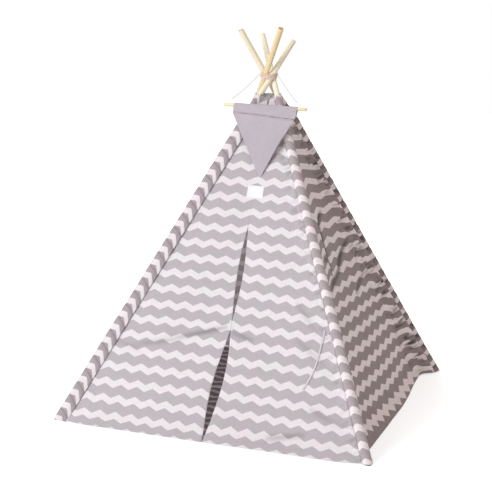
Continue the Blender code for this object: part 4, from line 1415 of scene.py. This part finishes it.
# String loop: the pennant's cotton string where it passes round the back of the poles, above the lashing.
# It lies tight against them and holds the pennant up.
loop_turn = 200
loop_points = 40
loop_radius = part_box("pennant_loop")[1].x - string_diameter / 2
loop_line = [heading(90 + loop_turn * (1 / 2 - number / loop_points)) * loop_radius
             + Vector((0, 0, string_hinge.z)) for number in range(loop_points + 1)]
loop = cord_mesh("string_loop", loop_line, string_diameter / 2, cotton_string)
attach(loop, "cover")
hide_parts("pennant_loop")

# Pennant: a triangle of plain grey cotton. Its top is turned over the stick and stitched down as a pocket,
# slanting a little, and its two long edges are narrow hems. It hangs free, just off the front.
# The stick is cut this much short at its left end.
bar_cut = 15 * MM
bar_edge = 1 * MM
pale_stick = wood("sanded ramin", "#F2EBC6", "#E2D6A2", "#C9B67C")
stick_end = end_grain("sawn ramin", "#E6DAAC", "#CBB988")
start, end = ends_of("pennant_bar", Vector((1, 0, 0)))
start += Vector((bar_cut, 0, 0))
bar = stick("pennant_stick", start, end, bar_radius, bar_edge, pale_stick, stick_end)
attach(bar, "pennant")
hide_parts("pennant_bar")

pennant_width = 256 * MM
pennant_shift = 11 * MM
pennant_shift_fade = 0.6
pennant_fall = 20 * MM
pennant_length = 272 * MM
pennant_tip_width = 6 * MM
pennant_thickness = 0.8 * MM
pennant_stand_off = math.radians(5)
pennant_pocket = 32 * MM
pocket_left = 27 * MM
pocket_right = 43 * MM
pennant_tip_lean = 20 * MM
pennant_hem = 8 * MM
pennant_hem_lift = 0.5 * MM
pennant_wave = 2.5 * MM
pennant_wave_size = (70 * MM, 60 * MM)
pennant_wave_start = 40 * MM
pennant_columns = 72
pocket_clear = 0.3 * MM
pocket_gap = 2.2
seam_depth = 3.6 * MM
seam_width = 3.5 * MM
bulge_drop = 11 * MM
bulge_width = 9 * MM
bulge_depth = 3.2 * MM
bulge_least = 0.4
bulge_middle = 0.45
# Painted shade along the pocket's stitch line: its half width, and how far the line wanders.
stitch_shade = 3 * MM
stitch_wander = 5 * MM
# Painted shade on the pennant's right edge towards its tip: where it starts across and down, and how dark.
edge_shade_across = (0.955, 0.03)
edge_shade_drop = (0.5, 0.12)
edge_painted_shade = 0.9
plain_cotton, tree, shader = surface("plain grey cotton", Roughness=0.9, IOR=1.47, Sheen_Weight=0.15,
                                     Sheen_Roughness=0.5)
pennant_map = add_node(tree, "UVMap", uv_map="flat")
dye = add_node(tree, "TexNoise", {"Vector": pennant_map, "Scale": 1 / (90 * MM), "Detail": 2})
dye_and_stitch_shade = add_node(tree, "Mix", {0: dye, 6: linear("#B9B0B9"), 7: linear("#C2B9C1")}, data_type="RGBA")
# Painted shade of the pocket's crease: a dark line along its stitching, darker in patches.
spot = add_node(tree, "SeparateXYZ", {0: pennant_map})
slant = add_node(tree, "Math", {0: spot, 1: (pocket_left - pocket_right) / pennant_width,
                                2: spot.outputs[1]}, operation="MULTIPLY_ADD")
slant = add_node(tree, "Math", {0: slant, 1: (pocket_left + pocket_right) / 2}, operation="SUBTRACT")
pulls = add_node(tree, "TexNoise", {"Vector": pennant_map, "Scale": 1 / (32 * MM), "Detail": 1})
pull = add_node(tree, "MapRange", {"Value": pulls, "To Min": -stitch_wander, "To Max": stitch_wander})
slant = add_node(tree, "Math", {0: slant, 1: pull}, operation="ADD")
slant = add_node(tree, "Math", {0: slant}, operation="ABSOLUTE")
deep = add_node(tree, "MapRange", {"Value": pulls, "From Min": 0.35, "From Max": 0.65,
                                   "To Min": 0.3, "To Max": 0.85})
stitch_painted_shade = add_node(tree, "MapRange", {"Value": slant, "From Max": stitch_shade, "To Min": deep})
dye_and_stitch_shade = add_node(tree, "VectorMath", {0: dye_and_stitch_shade.outputs[2], "Scale": stitch_painted_shade}, operation="SCALE")
woven(tree, shader, pennant_map, dye_and_stitch_shade, 0.2 * MM)

slope = side_tilt - pennant_stand_off
down = Vector((0, -math.sin(slope), -math.cos(slope)))
outwards = Vector((0, -math.cos(slope), math.sin(slope)))
wrap_radius = bar_radius + pocket_clear + pennant_thickness
pocket_steps = 8
wrap_steps = 16
hang_steps = 72
pennant_rows = pocket_steps + wrap_steps + hang_steps


def pennant_profile(across, row):
    """Distance out from the stick's middle plane, drop below it and cloth used, at a row of the cloth."""
    pocket = pocket_left + (pocket_right - pocket_left) * across
    if row < pocket_steps:
        share = row / pocket_steps
        inset = wrap_radius - pocket_gap * pennant_thickness
        return inset * (1 - share) - wrap_radius * share, pocket * (1 - share), -pocket * (1 - share)
    if row < pocket_steps + wrap_steps:
        turn = math.pi * (1 - (row - pocket_steps) / wrap_steps)
        return wrap_radius * math.cos(turn), -wrap_radius * math.sin(turn), 0
    drop = pennant_length * (row - pocket_steps - wrap_steps) / hang_steps
    seam = math.exp(-((drop - pocket) / seam_width) ** 2) * seam_depth
    bulge = math.exp(-((drop - pocket - bulge_drop) / bulge_width) ** 2) * bulge_depth
    fall = pennant_fall * (drop / pennant_length) ** 2
    bulge *= bulge_least + (1 - bulge_least) * 2 * abs(across - bulge_middle)
    return wrap_radius - seam + bulge - fall, drop, drop


def pennant_place(across, share):
    """Point of the pennant's cloth."""
    spot, drop, used = pennant_profile(across, round(share * pennant_rows))
    left = max(0, drop - pennant_pocket) / (pennant_length - pennant_pocket)
    width = pennant_width + (pennant_tip_width - pennant_width) * left
    shift = (across - 1 / 2) * width + pennant_tip_lean * left
    shift += pennant_shift * (1 - left * pennant_shift_fade)
    edge = min(across, 1 - across) * width
    wave = noise.noise(Vector((shift / pennant_wave_size[0], drop / pennant_wave_size[1], 5)))
    wave *= pennant_wave * ease(drop / pennant_wave_start)
    hem = pennant_hem_lift if edge < pennant_hem and used > 0 else 0
    return bar_middle + outwards * (spot + wave + hem) + down * drop + Vector((shift, 0, 0))


def pennant_flat(across, share):
    """Its place on the flat cut."""
    spot, drop, used = pennant_profile(across, round(share * pennant_rows))
    return (across - 1 / 2) * pennant_width, used


def pennant_shade(across, share):
    """Painted shade on its right edge towards the tip."""
    near_edge = ease((across - edge_shade_across[0]) / edge_shade_across[1])
    return edge_painted_shade * near_edge * ease((share - edge_shade_drop[0]) / edge_shade_drop[1])


pennant = cloth_grid("pennant_cotton", pennant_place, pennant_flat, even(pennant_columns),
                     even(pennant_rows), pennant_thickness, (plain_cotton,), shade=pennant_shade)
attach(pennant, "pennant")
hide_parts("pennant_cloth")
